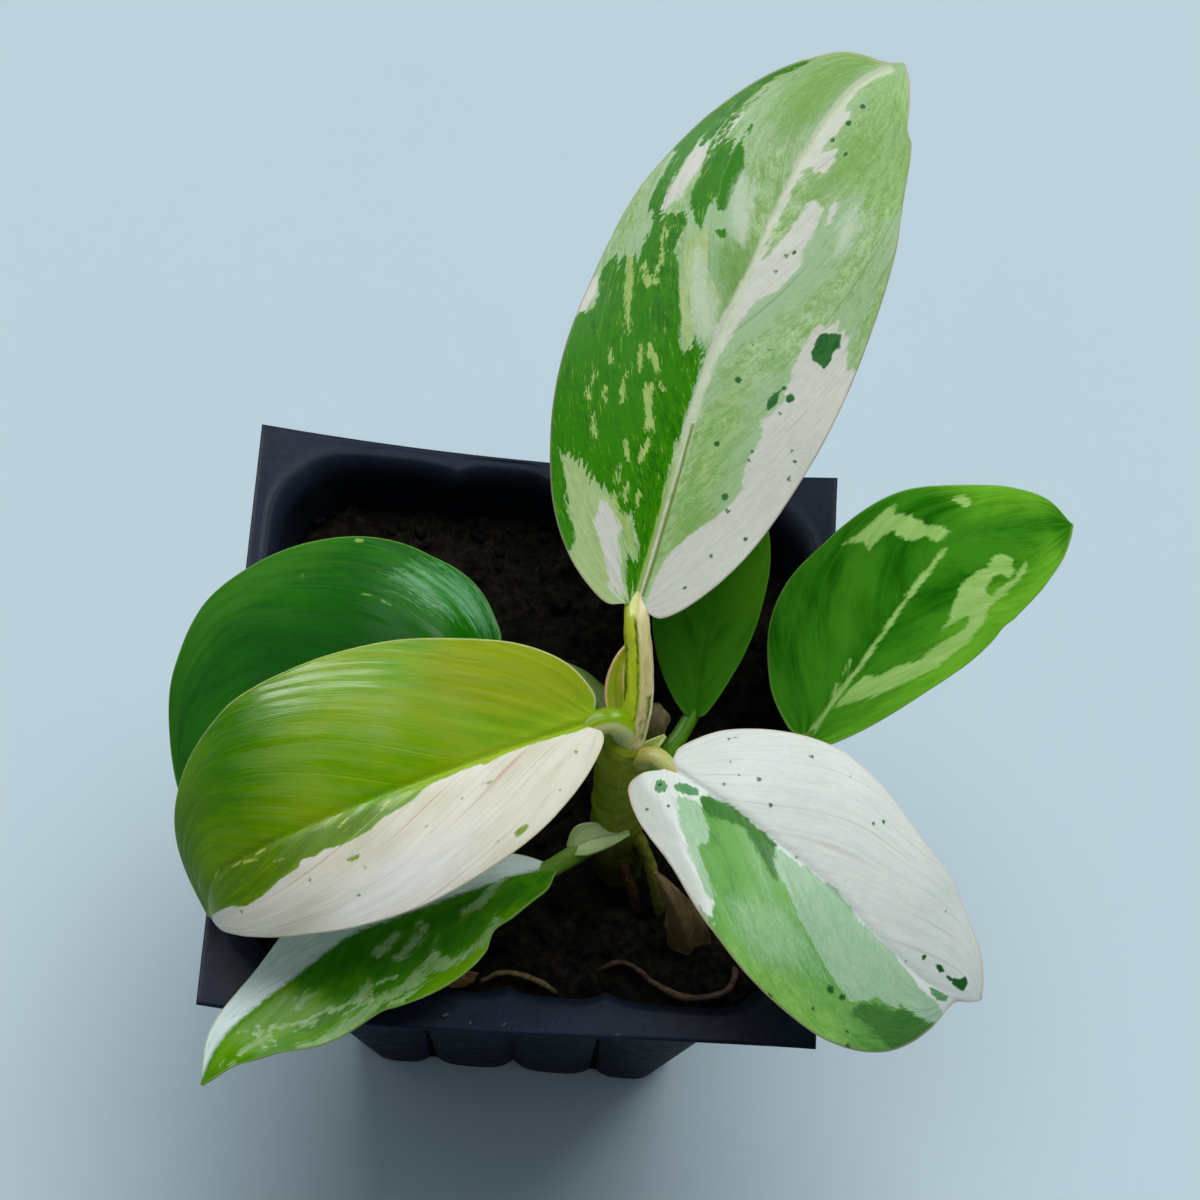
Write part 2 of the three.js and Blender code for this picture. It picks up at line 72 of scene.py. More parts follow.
def spline(points, t):
    """Smooth curve through the points, t from 0 to 1."""
    p = np.asarray(points, float)
    spans = len(p) - 1
    q = np.vstack([2 * p[0] - p[1], p, 2 * p[-1] - p[-2]])
    t = np.clip(np.asarray(t, float), 0, 1) * spans
    i = np.minimum(t.astype(int), spans - 1)
    f = (t - i)[..., None]
    a, b, c, d = q[i], q[i + 1], q[i + 2], q[i + 3]
    square, cube = 2 * a - 5 * b + 4 * c - d, 3 * b - a - 3 * c + d
    return 0.5 * (2 * b + (c - a) * f + square * f ** 2 + cube * f ** 3)


def noise(x, y, seed):
    """Smooth value noise from -1 to 1."""
    cells = 64
    table = np.random.default_rng(seed).uniform(-1, 1, (cells, cells))
    i, j = np.floor(x).astype(int), np.floor(y).astype(int)
    u, v = x - i, y - j
    u, v = u * u * (3 - 2 * u), v * v * (3 - 2 * v)
    i0, i1, j0, j1 = i % cells, (i + 1) % cells, j % cells, (j + 1) % cells
    return lerp(lerp(table[i0, j0], table[i1, j0], u), lerp(table[i0, j1], table[i1, j1], u), v)


def layered(x, y, seed, octaves=4):
    """Sum of finer and fainter noises."""
    return sum(noise(x * 2 ** k, y * 2 ** k, seed + k) / 2 ** k for k in range(octaves))


# Meshes

def make(name, verts, faces, materials, slot, nodes=(), layers=None, face_material=None):
    """Smooth piece of the plant or pot from vertices in millimetres, with float layers for its colours."""
    data = bpy.data.meshes.new(name)
    data.from_pydata((np.asarray(verts) * MM).tolist(), [], [list(f) for f in faces])
    for key, values in (layers or {}).items():
        values = np.asarray(values, np.float32)
        kind, field = ("FLOAT_VECTOR", "vector") if values.ndim == 2 else ("FLOAT", "value")
        data.attributes.new(key, kind, "POINT").data.foreach_set(field, values.ravel())
    for material in materials:
        data.materials.append(material)
    if face_material is not None:
        data.polygons.foreach_set("material_index", face_material)
    data.shade_smooth()
    data.update()
    piece = bpy.data.objects.new(name, data)
    bpy.context.scene.collection.objects.link(piece)
    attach(piece, "root")
    if nodes:
        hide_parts(*nodes)
    return piece


def grid_faces(rows, columns, start=0, closed=False, flip=False):
    """Quads over a grid of vertices, row by row."""
    i, j = np.meshgrid(np.arange(rows - 1), np.arange(columns if closed else columns - 1), indexing="ij")
    a = i * columns + j
    b = i * columns + (j + 1) % columns
    quads = np.stack([a, b, b + columns, a + columns], -1).reshape(-1, 4) + start
    return (quads[:, ::-1] if flip else quads).tolist()


def cap_faces(first, count, centre, flip=False):
    """Fan from a centre vertex to the ring of count vertices that starts at first."""
    ring = range(first, first + count)
    out = [(ring[(k + 1) % count], ring[k], centre) for k in range(count)]
    return [f[::-1] for f in out] if flip else out


def border(rows, columns):
    """Vertex numbers round the edge of a grid, anticlockwise from above."""
    first = np.arange(columns)
    right = np.arange(1, rows) * columns + columns - 1
    last = (rows - 1) * columns + np.arange(columns - 2, -1, -1)
    left = np.arange(rows - 2, 0, -1) * columns
    return np.concatenate([first, right, last, left])


# Curves and bent blades

class Path:
    """Smooth curve with frames carried along it without turning about it. Ease smooths its directions."""

    def __init__(self, points, ease=0.0):
        self.points = spline(points, np.linspace(0, 1, PATH_STEPS + 1))
        gaps = np.linalg.norm(np.diff(self.points, axis=0), axis=1)
        self.arc = np.concatenate([[0], np.cumsum(gaps)])
        self.length = self.arc[-1]
        self.along = unit(np.gradient(self.points, self.arc, axis=0))
        if ease:
            self.along = unit(hump(self.arc[:, None], self.arc, ease) @ self.along)
        side = np.cross(self.along[0], UP if abs(self.along[0][2]) < 0.9 else AHEAD)
        sides = []
        for t in self.along:
            side = unit(side - (side @ t) * t)
            sides.append(side)
        self.side = np.array(sides)

    def frame(self, s):
        """Places, directions along, directions to the right and upward normals at distances s."""
        s = np.asarray(s, float)
        held = np.clip(s, 0, self.length)
        place, along, side = (np.stack([np.interp(held, self.arc, table[:, k]) for k in range(3)], -1)
                              for table in (self.points, self.along, self.side))
        along = unit(along)
        side = unit(side - (side * along).sum(-1, keepdims=True) * along)
        return place + along * (s - held)[..., None], along, side, np.cross(side, along)


def bend(path, leaf, along, out):
    """Points and upward normals of a blade from its flat coordinates."""
    place, _, side, up = path.frame(along)
    f = np.clip(along / path.length, 0, 1)
    right = leaf.get("fold_right", leaf["fold"])
    fold = np.radians(np.where(out <= 0, lerp(*leaf["fold"], f), lerp(*right, f)))
    curl = np.radians(lerp(*leaf["curl"], f)) / CURL_WIDTH
    turned = fold - curl * np.abs(out)
    reach = ((np.sin(fold) - np.sin(turned)) / curl)[..., None]
    rise = ((np.cos(turned) - np.cos(fold)) / curl)[..., None]
    outward = side * np.where(out < 0, -1.0, 1.0)[..., None]
    turned = turned[..., None]
    return place + outward * reach + up * rise, up * np.cos(turned) - outward * np.sin(turned)


def vein_field(leaf, along, out, share, width):
    """Side veins run forward from the rib and bend until they follow the margin. Returns which vein passes
    each place, in millimetres across the veins, and the direction of the vein there as (along, out)."""
    reach = 1.7 * max(o for _, o in leaf["left"] + leaf["right"])
    number = (along - reach * (share + 0.6 * share ** 3)) / VEIN_SLANT
    slope = reach * (1 + 1.8 * share ** 2) / np.maximum(width, 3.0)
    sign = np.where(out < 0, -1.0, 1.0)
    return number, np.stack([slope, sign], -1) / np.hypot(slope, 1.0)[..., None]


# Depth inside a marking, positive inside, all in flat coordinates

def gap_to(p, start, end):
    """Distance of each place from a straight line between two points."""
    reach = np.subtract(end, start)
    w = p - start
    t = np.clip(w @ reach / max(reach @ reach, 1e-9), 0, 1)
    return np.hypot(*(w - t[:, None] * reach).T)


def inside_depth(p, polygon):
    best = np.full(len(p), np.inf)
    inside = np.zeros(len(p), bool)
    x, y = p.T
    for (x0, y0), (x1, y1) in zip(polygon, polygon[1:] + polygon[:1]):
        best = np.minimum(best, gap_to(p, (x0, y0), (x1, y1)))
        if y0 != y1:
            inside ^= ((y0 > y) != (y1 > y)) & (x < (x1 - x0) * (y - y0) / (y1 - y0) + x0)
    return np.where(inside, best, -best)


def zone_depth(p, zone, veins, seed):
    """Depth inside a zone's areas, streaks and spots. With fingers, the border reaches along the veins."""
    moved = p
    if "fingers" in zone:
        number, direction = veins  # the push differs from vein to vein
        push = layered(number / 0.8, p[:, 0] / 9 + 30, 500 + seed, 3)
        push = push + 0.5 * layered(number / 3.1, p[:, 0] / 14, 540 + seed, 2)
        moved = p + direction * (zone["fingers"] * push)[:, None]
    depths = [np.full(len(p), FAR_OUT)]
    depths += [inside_depth(moved, polygon) for polygon in zone.get("areas", ())]
    depths += [width / 2 - gap_to(moved, *ends) for width, line in zone.get("streaks", ())
               for ends in zip(line, line[1:])]
    depths += [radius - np.hypot(*(p - (x, y)).T) for x, y, radius in zone.get("spots", ())]
    return np.max(depths, axis=0)


def zone_layers(look, places, veins=None, prefix="zone_"):
    return {prefix + key: zone_depth(places, zone, veins, k)
            for k, (key, zone) in enumerate(look.get("zones", {}).items())}


# Materials

class Paint:
    """Node material around one principled shader. Colours are given as 8-bit display values."""

    def __init__(self, name, specular, roughness=0.5, subsurface=0.0):
        self.material = bpy.data.materials.new(name)
        self.material.use_nodes = True
        self.tree = self.material.node_tree
        self.shader = self.tree.nodes["Principled BSDF"]
        settings = {"Roughness": roughness, "Specular IOR Level": specular, "Subsurface Weight": subsurface,
                    "Subsurface Radius": SOFT_RADIUS, "Subsurface Scale": SOFT_SCALE}
        for key, value in settings.items():
            self.shader.inputs[key].default_value = value

    def put(self, socket, value):
        if isinstance(value, bpy.types.NodeSocket):
            self.tree.links.new(value, socket)
        else:
            socket.default_value = srgb(*value) if socket.type == "RGBA" else value

    def node(self, kind, inputs=(), **settings):
        """Node with its settings, and with its inputs in order or by their numbers or names."""
        node = self.tree.nodes.new(kind)
        for key, value in settings.items():
            setattr(node, key, value)
        for key, value in (inputs.items() if isinstance(inputs, dict) else enumerate(inputs)):
            self.put(node.inputs[key], value)
        return node

    def layer(self, name):
        return self.node("ShaderNodeAttribute", attribute_name=name).outputs["Fac"]

    def math(self, operation, *values):
        return self.node("ShaderNodeMath", values, operation=operation).outputs[0]

    def times(self, a, b):
        return self.math("MULTIPLY", a, b)

    def mix(self, factor, a, b):
        return self.node("ShaderNodeMix", {0: factor, 6: a, 7: b}, data_type="RGBA").outputs[2]

    def ramp(self, value, low, high, out_low=0.0, out_high=1.0, smooth=True):
        node = self.node("ShaderNodeMapRange", (value, low, high, out_low, out_high),
                         interpolation_type="SMOOTHSTEP" if smooth else "LINEAR")
        return node.outputs[0]

    def stretched(self, vector, scale, shift=(0.0, 0.0, 0.0)):
        inputs = {"Vector": vector, "Location": shift, "Scale": scale}
        return self.node("ShaderNodeMapping", inputs).outputs[0]

    def noise(self, vector, scale=1.0, detail=2.0, roughness=0.5):
        inputs = {"Vector": vector, "Scale": scale, "Detail": detail, "Roughness": roughness}
        return self.node("ShaderNodeTexNoise", inputs).outputs["Fac"]

    def position(self):
        """Place in the frame, in millimetres."""
        return self.stretched(self.node("ShaderNodeNewGeometry").outputs["Position"], (1 / MM,) * 3)

    def finish(self, colour, height, depth, strength, roughness):
        bump = self.node("ShaderNodeBump", {"Strength": strength, "Distance": depth * MM, "Height": height})
        for key, value in {"Base Color": colour, "Normal": bump.outputs[0], "Roughness": roughness}.items():
            self.put(self.shader.inputs[key], value)
        return self.material


def tissue(name, look, shift, prefix="zone_"):
    """Living surface: a base colour, then each zone over it, its markings and painted sheens, with fine
    veins, rib and rim. The shift gives each surface noises of its own."""
    paint = Paint(name, specular=look.get("gloss", 0.03), subsurface=look.get("subsurface", 0.12))
    flat = paint.node("ShaderNodeAttribute", attribute_name="flat").outputs["Vector"]

    def pattern(across, length, row, detail=3.0, roughness=0.6):
        """Noise with this many cells in a millimetre across the veins and along them."""
        place = paint.stretched(flat, (across, length, 0), (shift, row, 0))
        return paint.noise(place, 1.0, detail, roughness)

    grain = pattern(0.75, 0.16, shift)
    speck = pattern(2.2, 0.9, 3.0)
    # Mottling of the two colours, flecks, the third colour, uneven gaps of the veins, breaks in them
    tone = pattern(*look.get("mottle", (0.32, 0.07)), 7.0, 5.0, look.get("grainy", 0.7))
    tone = paint.ramp(tone, 0.37, 0.63)
    spray = paint.ramp(pattern(1.5, 0.3, 29.0), 0.6, 0.68)
    cloud = paint.ramp(pattern(0.12, 0.06, 11.0, 4.0), 0.35, 0.65)
    drift = pattern(0.2, 0.015, 17.0, 1.0, 0.5)
    fade = paint.ramp(pattern(0.5, 0.05, 23.0, 1.0, 0.5), 0.4, 0.62)
    # How far the border of a marking strays
    wander = paint.math("MULTIPLY_ADD", paint.math("SUBTRACT", grain, 0.5), 3.5,
                        paint.times(paint.math("SUBTRACT", speck, 0.5), 3.5))
    place, along, out = paint.node("ShaderNodeSeparateXYZ", (flat,)).outputs

    def vein_lines(gap, swing, low):
        """Thin lines along the veins, this many millimetres apart."""
        turn = paint.math("MULTIPLY_ADD", place, 2 * np.pi / gap, paint.times(drift, swing))
        return paint.ramp(paint.math("SINE", turn), low, 1.0)

    lines = paint.math("MAXIMUM", paint.times(vein_lines(look.get("fine", 1.7), 16.0, 0.8), 0.3),
                       paint.times(vein_lines(look.get("coarse", 5.5), 7.0, 0.95), fade))

    def filled(zone):
        colour = paint.mix(tone, *zone["colours"])
        if "far" in zone:
            colour = paint.mix(cloud, colour, zone["far"])
        if "vein" in zone:
            strength, tint = zone["vein"]
            colour = paint.mix(paint.times(lines, strength), colour, tint)
        if "fleck" in zone:
            amount, tint = zone["fleck"]
            colour = paint.mix(paint.times(spray, amount), colour, tint)
        return colour

    colour = filled(look["base"])
    for key, zone in look.get("zones", {}).items():
        depth = paint.math("MULTIPLY_ADD", wander, zone.get("jag", 0.5), paint.layer(prefix + key))
        soft = zone.get("soft", 0.25)
        mask = paint.ramp(depth, -soft, soft, 0.0, zone.get("amount", 1.0))
        colour = paint.mix(mask, colour, filled(zone))
    if "rib" in look:
        tint, strength, width = look["rib"]
        end = look["rib_end"]
        mask = paint.ramp(paint.math("ABSOLUTE", out), width * 0.4, width, strength, 0.0)
        colour = paint.mix(paint.times(mask, paint.ramp(along, end * 0.4, end, 1.0, 0.0)), colour, tint)
    if "rim" in look:
        tint, strength, width = look["rim"]
        colour = paint.mix(paint.ramp(paint.layer("rim"), width * 0.3, width, strength, 0.0), colour, tint)
    if "under" in look:
        colour = paint.mix(paint.times(paint.layer("under"), 0.6), colour, look["under"])
    height = paint.math("MULTIPLY_ADD", lines, -0.8, paint.times(speck, 0.6))
    height = paint.math("MULTIPLY_ADD", grain, 0.7, height)
    near, rough_near, far, rough_far = look.get("roughness", (0, 0.26, 1, 0.26))
    roughness = paint.ramp(along, near, far, rough_near, rough_far)
    roughness = paint.math("MULTIPLY_ADD", paint.math("SUBTRACT", tone, 0.5), 0.08, roughness)
    if "streaky" in look:
        streaks = paint.ramp(pattern(0.62, 0.05, 41.0), 0.44, 0.62, 0.0, look["streaky"])
        roughness = paint.math("ADD", roughness, streaks)
    return paint.finish(colour, height, look.get("relief", 0.05), 0.5, roughness)


def solid_paint(name, colours, scale, roughness, depth=0.1, stretch=(1.0, 1.0, 1.0)):
    """Surface mottled in the frame's own coordinates with two colours, and patches of a third."""
    first, second, third = colours
    paint = Paint(name, specular=0.04)
    place = paint.stretched(paint.position(), stretch)
    tone = paint.noise(place, scale, 5.0, 0.62)
    colour = paint.mix(paint.ramp(tone, 0.36, 0.64), first, second)
    patches = paint.noise(place, scale * 0.3, 4.0, 0.7)
    colour = paint.mix(paint.ramp(patches, 0.52, 0.66), colour, third)
    height = paint.noise(place, scale * 2.5, 4.0, 0.65)
    return paint.finish(colour, height, depth, 0.6, paint.ramp(tone, 0.3, 0.7, *roughness, smooth=False))


def fill(first, second, **more):
    """Two mottled colours of a surface or zone, with what else is given: a third colour far, its veins and
    flecks, how soft and jagged its border is, its amount of cover, and its areas, streaks or spots."""
    return dict(colours=(first, second), **more)


# Leaves: rib and petiole points, outlines as (along, out) from base to tip, fold and curl in degrees and
# the petiole's radius from base to tip, rows and columns of the mesh, and (height, spacing, phase) of the
# waved edge. A fold or outline on the right may differ from the left one

LEAVES = {
    "leaf_back_large": dict(
        rib=[(11.5, 9.5, 147), (15.5, 27.5, 154.5), (19.5, 44, 160.5), (25, 59.5, 165.5), (32, 77.5, 170),
             (40, 91, 172), (48, 97, 171.5)],
        petiole=[(12.4, -9.2, 135), (13.4, -4, 140), (13, 2, 143.6), (12.2, 7, 146)],
        left=[(0, 1.5), (-0.5, 5), (4, 11.2), (11, 16.3), (20, 19.8), (32, 22), (46, 22.6), (60, 21.6),
              (72, 18.2), (83, 13.2), (92, 7), (97.5, 1.8)],
        right=[(0, 1.5), (-0.6, 5), (4, 9.8), (12, 14.8), (22, 18.6), (33, 21.3), (46, 22.3), (58, 21.6),
               (70, 19.8), (80, 17), (89, 13.6), (96, 9.5), (99.5, 4)],
        fold=(12, 6), curl=(22, 22), thick=(2.7, 1.9), rows=230, columns=52, wave=(0.35, 31, 0.4),
        sheaths=[dict(rib=[(10.4, -6.5, 138), (9.6, -2, 141.2), (10.2, 1.8, 143.4), (11.9, 4.8, 144.8)],
                      left=[(0, 1.2), (3.5, 1.9), (8, 1.5)],
                      right=[(0, 1.4), (3.5, 1.8), (8, 1.2)],
                      fold=(30, 20), curl=(40, 40))]),
    "leaf_left_arching": dict(
        rib=[(7, -8, 141), (-3, -14, 146), (-13, -19.5, 148), (-27, -26, 147), (-41, -31.5, 140),
             (-50.5, -34.5, 128), (-52, -37, 115)],
        petiole=[(13, -8.6, 135), (11.2, -7.6, 139), (8.6, -7.6, 140.6)],
        left=[(0, 1.5), (1, 4), (7, 8.5), (16, 13.2), (26, 16.4), (37, 18.2), (48, 17.4), (57, 15.3),
              (66, 12.4), (75, 8.5), (82, 4)],
        right=[(0, 1.5), (-0.6, 4.5), (2.5, 10), (9, 15), (18, 19), (29, 22.4), (41, 24.2), (53, 23.6),
               (61, 22), (68, 18.8), (74, 13), (80, 6)],
        fold=(6, 0), fold_right=(28, 20), curl=(24, 32), thick=(2.5, 1.9), rows=200, columns=50,
        wave=(0.3, 27, 1.9), pleat=0.03),
    "leaf_front_right": dict(
        rib=[(19, -13.5, 138), (26.5, -19.5, 142), (35, -25.5, 143), (44, -31.5, 141), (54, -38.5, 135),
             (63, -42.5, 127), (72, -42, 119)],
        petiole=[(12.4, -10.6, 130.5), (14.8, -11.4, 134.8), (17.2, -12, 137.2)],
        left=[(0, 1.5), (0, 4), (4, 10), (11, 15), (20, 18.2), (30, 18.6), (40, 17), (50, 16), (60, 13.6),
              (66, 9), (69, 4)],
        right=[(0, 1.5), (-2, 4), (-1.5, 7.5), (4, 10.8), (12, 13.4), (20, 16.8), (30, 19.2), (40, 19),
               (49, 17), (56, 12.8), (61, 6.5), (64.5, 1.6), (68, 0.8)],
        fold=(14, 5), curl=(22, 25), thick=(2.0, 1.5), rows=180, columns=46, wave=(0.4, 24, 0.9),
        sheaths=[dict(rib=[(14.8, -11, 133.5), (16.4, -9.9, 136.4), (18.2, -8.4, 138)],
                      left=[(0, 1.2), (2, 1.7), (4, 1.2)],
                      right=[(0, 1.2), (2, 1.7), (4, 1.2)],
                      fold=(35, 25), curl=(50, 50))]),
    "leaf_right_green": dict(
        rib=[(43, 0.5, 117), (49, 10.5, 121), (56, 22, 123.5), (62.5, 32, 124.5), (69, 36.5, 124),
             (76.5, 39.5, 122), (86.5, 43, 117)],
        petiole=[(12.5, -11.5, 113), (18, -10.8, 115.5), (27, -8, 116.5), (36, -3.6, 116.6)],
        left=[(-0.5, 1.5), (0, 4.5), (4, 10.3), (12, 15.8), (21, 17.7), (30, 16.2), (38, 13.4), (47, 10),
              (56, 7.6), (63, 5)],
        right=[(0, 1.5), (1, 3.5), (8, 7.8), (17, 11.8), (26, 15), (35, 16.3), (45, 15.8), (53, 12.6),
               (60, 7.5), (64, 3.2)],
        fold=(10, 0), curl=(20, 20), thick=(2.1, 1.4), rows=160, columns=40, wave=(0.3, 22, 2.4), ease=7.0),
    "leaf_left_low": dict(
        rib=[(-10.5, 6.5, 122), (-20, 6.5, 126), (-31.5, 5, 127), (-42.5, 0.5, 125), (-53.5, -6.5, 118),
             (-59.5, -15, 108)],
        petiole=[(12, -9.5, 122), (9.4, -1.4, 124.2), (4.6, 4.2, 124.8), (-3.5, 6.8, 123.6)],
        left=[(0, 1.5), (-1, 5), (4, 12), (12, 16.5), (22, 19.5), (33, 19.5), (43, 16), (52, 10.5),
              (59, 4.5)],
        right=[(0, 1.5), (-1.2, 6), (4, 13.5), (12, 18), (21, 21), (31, 22.2), (41, 20.4), (49, 14.5),
               (56, 8.5), (61, 3.6)],
        fold=(10, 5), curl=(20, 25), thick=(2.6, 1.6), rows=170, columns=46, wave=(0.35, 25, 3.0),
        pleat=0.03),
    "leaf_front_left_folded": dict(
        rib=[(2.5, -24, 113), (-4.5, -27, 115.5), (-12, -31, 117), (-20.5, -35.5, 118), (-29, -39.5, 118),
             (-36, -45.5, 117), (-43.5, -52, 115), (-48, -57, 113), (-50.5, -63.5, 110.5)],
        petiole=[(12.2, -13.5, 107.5), (9.3, -17.2, 109.8), (5.8, -21, 111.6)],
        left=[(0, 1.2), (3, 4.4), (6.5, 6), (11, 7.7), (15, 9), (18, 12.2), (23.5, 14.4), (32, 15.3),
              (41.5, 14.4), (49, 12.7), (56.5, 8.8), (62, 6.2), (66.2, 3)],
        right=[(0, 1.2), (4.4, 4.7), (11, 7), (20, 9.2), (30, 9.8), (38, 9.4), (45, 8.2), (53, 5.5), (58, 4),
               (64, 2.2)],
        fold=(30, 20), fold_right=(-28, -20), curl=(20, 20), thick=(2.3, 1.4), rows=170, columns=34,
        wave=(0.3, 19, 0.2),
        sheaths=[dict(rib=[(5.4, -20.3, 111.6), (7.6, -19.2, 113), (10.4, -18.4, 114.2), (14.6, -17.6, 115)],
                      left=[(0, 1.4), (3, 3.4), (6.5, 2.4)],
                      right=[(0, 1.4), (3, 3), (6.5, 2.4)],
                      fold=(45, 30), curl=(60, 60))]),
    "leaf_back_small": dict(
        rib=[(24, 3.5, 115), (24.5, 14, 118.5), (25.5, 22.5, 120.5), (27, 30, 121), (28.5, 41, 120),
             (30, 47.5, 118)],
        petiole=[(12.8, -9, 106), (17.4, -6.2, 110.8), (20.8, -1.6, 113.4)],
        left=[(0, 1), (1, 2.5), (5, 5.3), (10, 7.6), (16, 9.3), (24, 10), (32, 8.5), (39, 5.5), (43, 2.6)],
        right=[(0, 1), (1, 2.2), (5, 4.4), (11, 6.9), (18, 8.3), (26, 8.2), (33, 7), (40, 4.2), (43.5, 2)],
        fold=(10, 0), curl=(20, 20), thick=(2.2, 1.2), rows=90, columns=22, wave=(0.2, 18, 1.1)),
}

# Colour looks of the leaves, in 8-bit display values. The zones are laid over the base in order. Areas are
# polygons in flat leaf coordinates, a streak is (width, points) and a spot (along, out, radius). Veins and
# flecks are (strength, colour), rib and rim (colour, strength, width), and roughness (from, its value there,
# to, its value there) along the rib

# Outlines that two zones of the leaf at the front right share
ISLES = [
    [(1.5, 4.5), (1, 3.5), (1.8, 2.8), (3, 3.2), (3.6, 4), (3, 5.1), (2, 5.1)],
    [(4, 2.6), (4, 1.5), (5.5, 0.9), (7.2, 0.4), (8.1, 1.5), (6.5, 2.6), (5, 3)],
    [(58, 0.3), (60, 0.3), (62.5, 0.5), (62.5, 1.3), (60.5, 1.7), (58.6, 1.1)]]

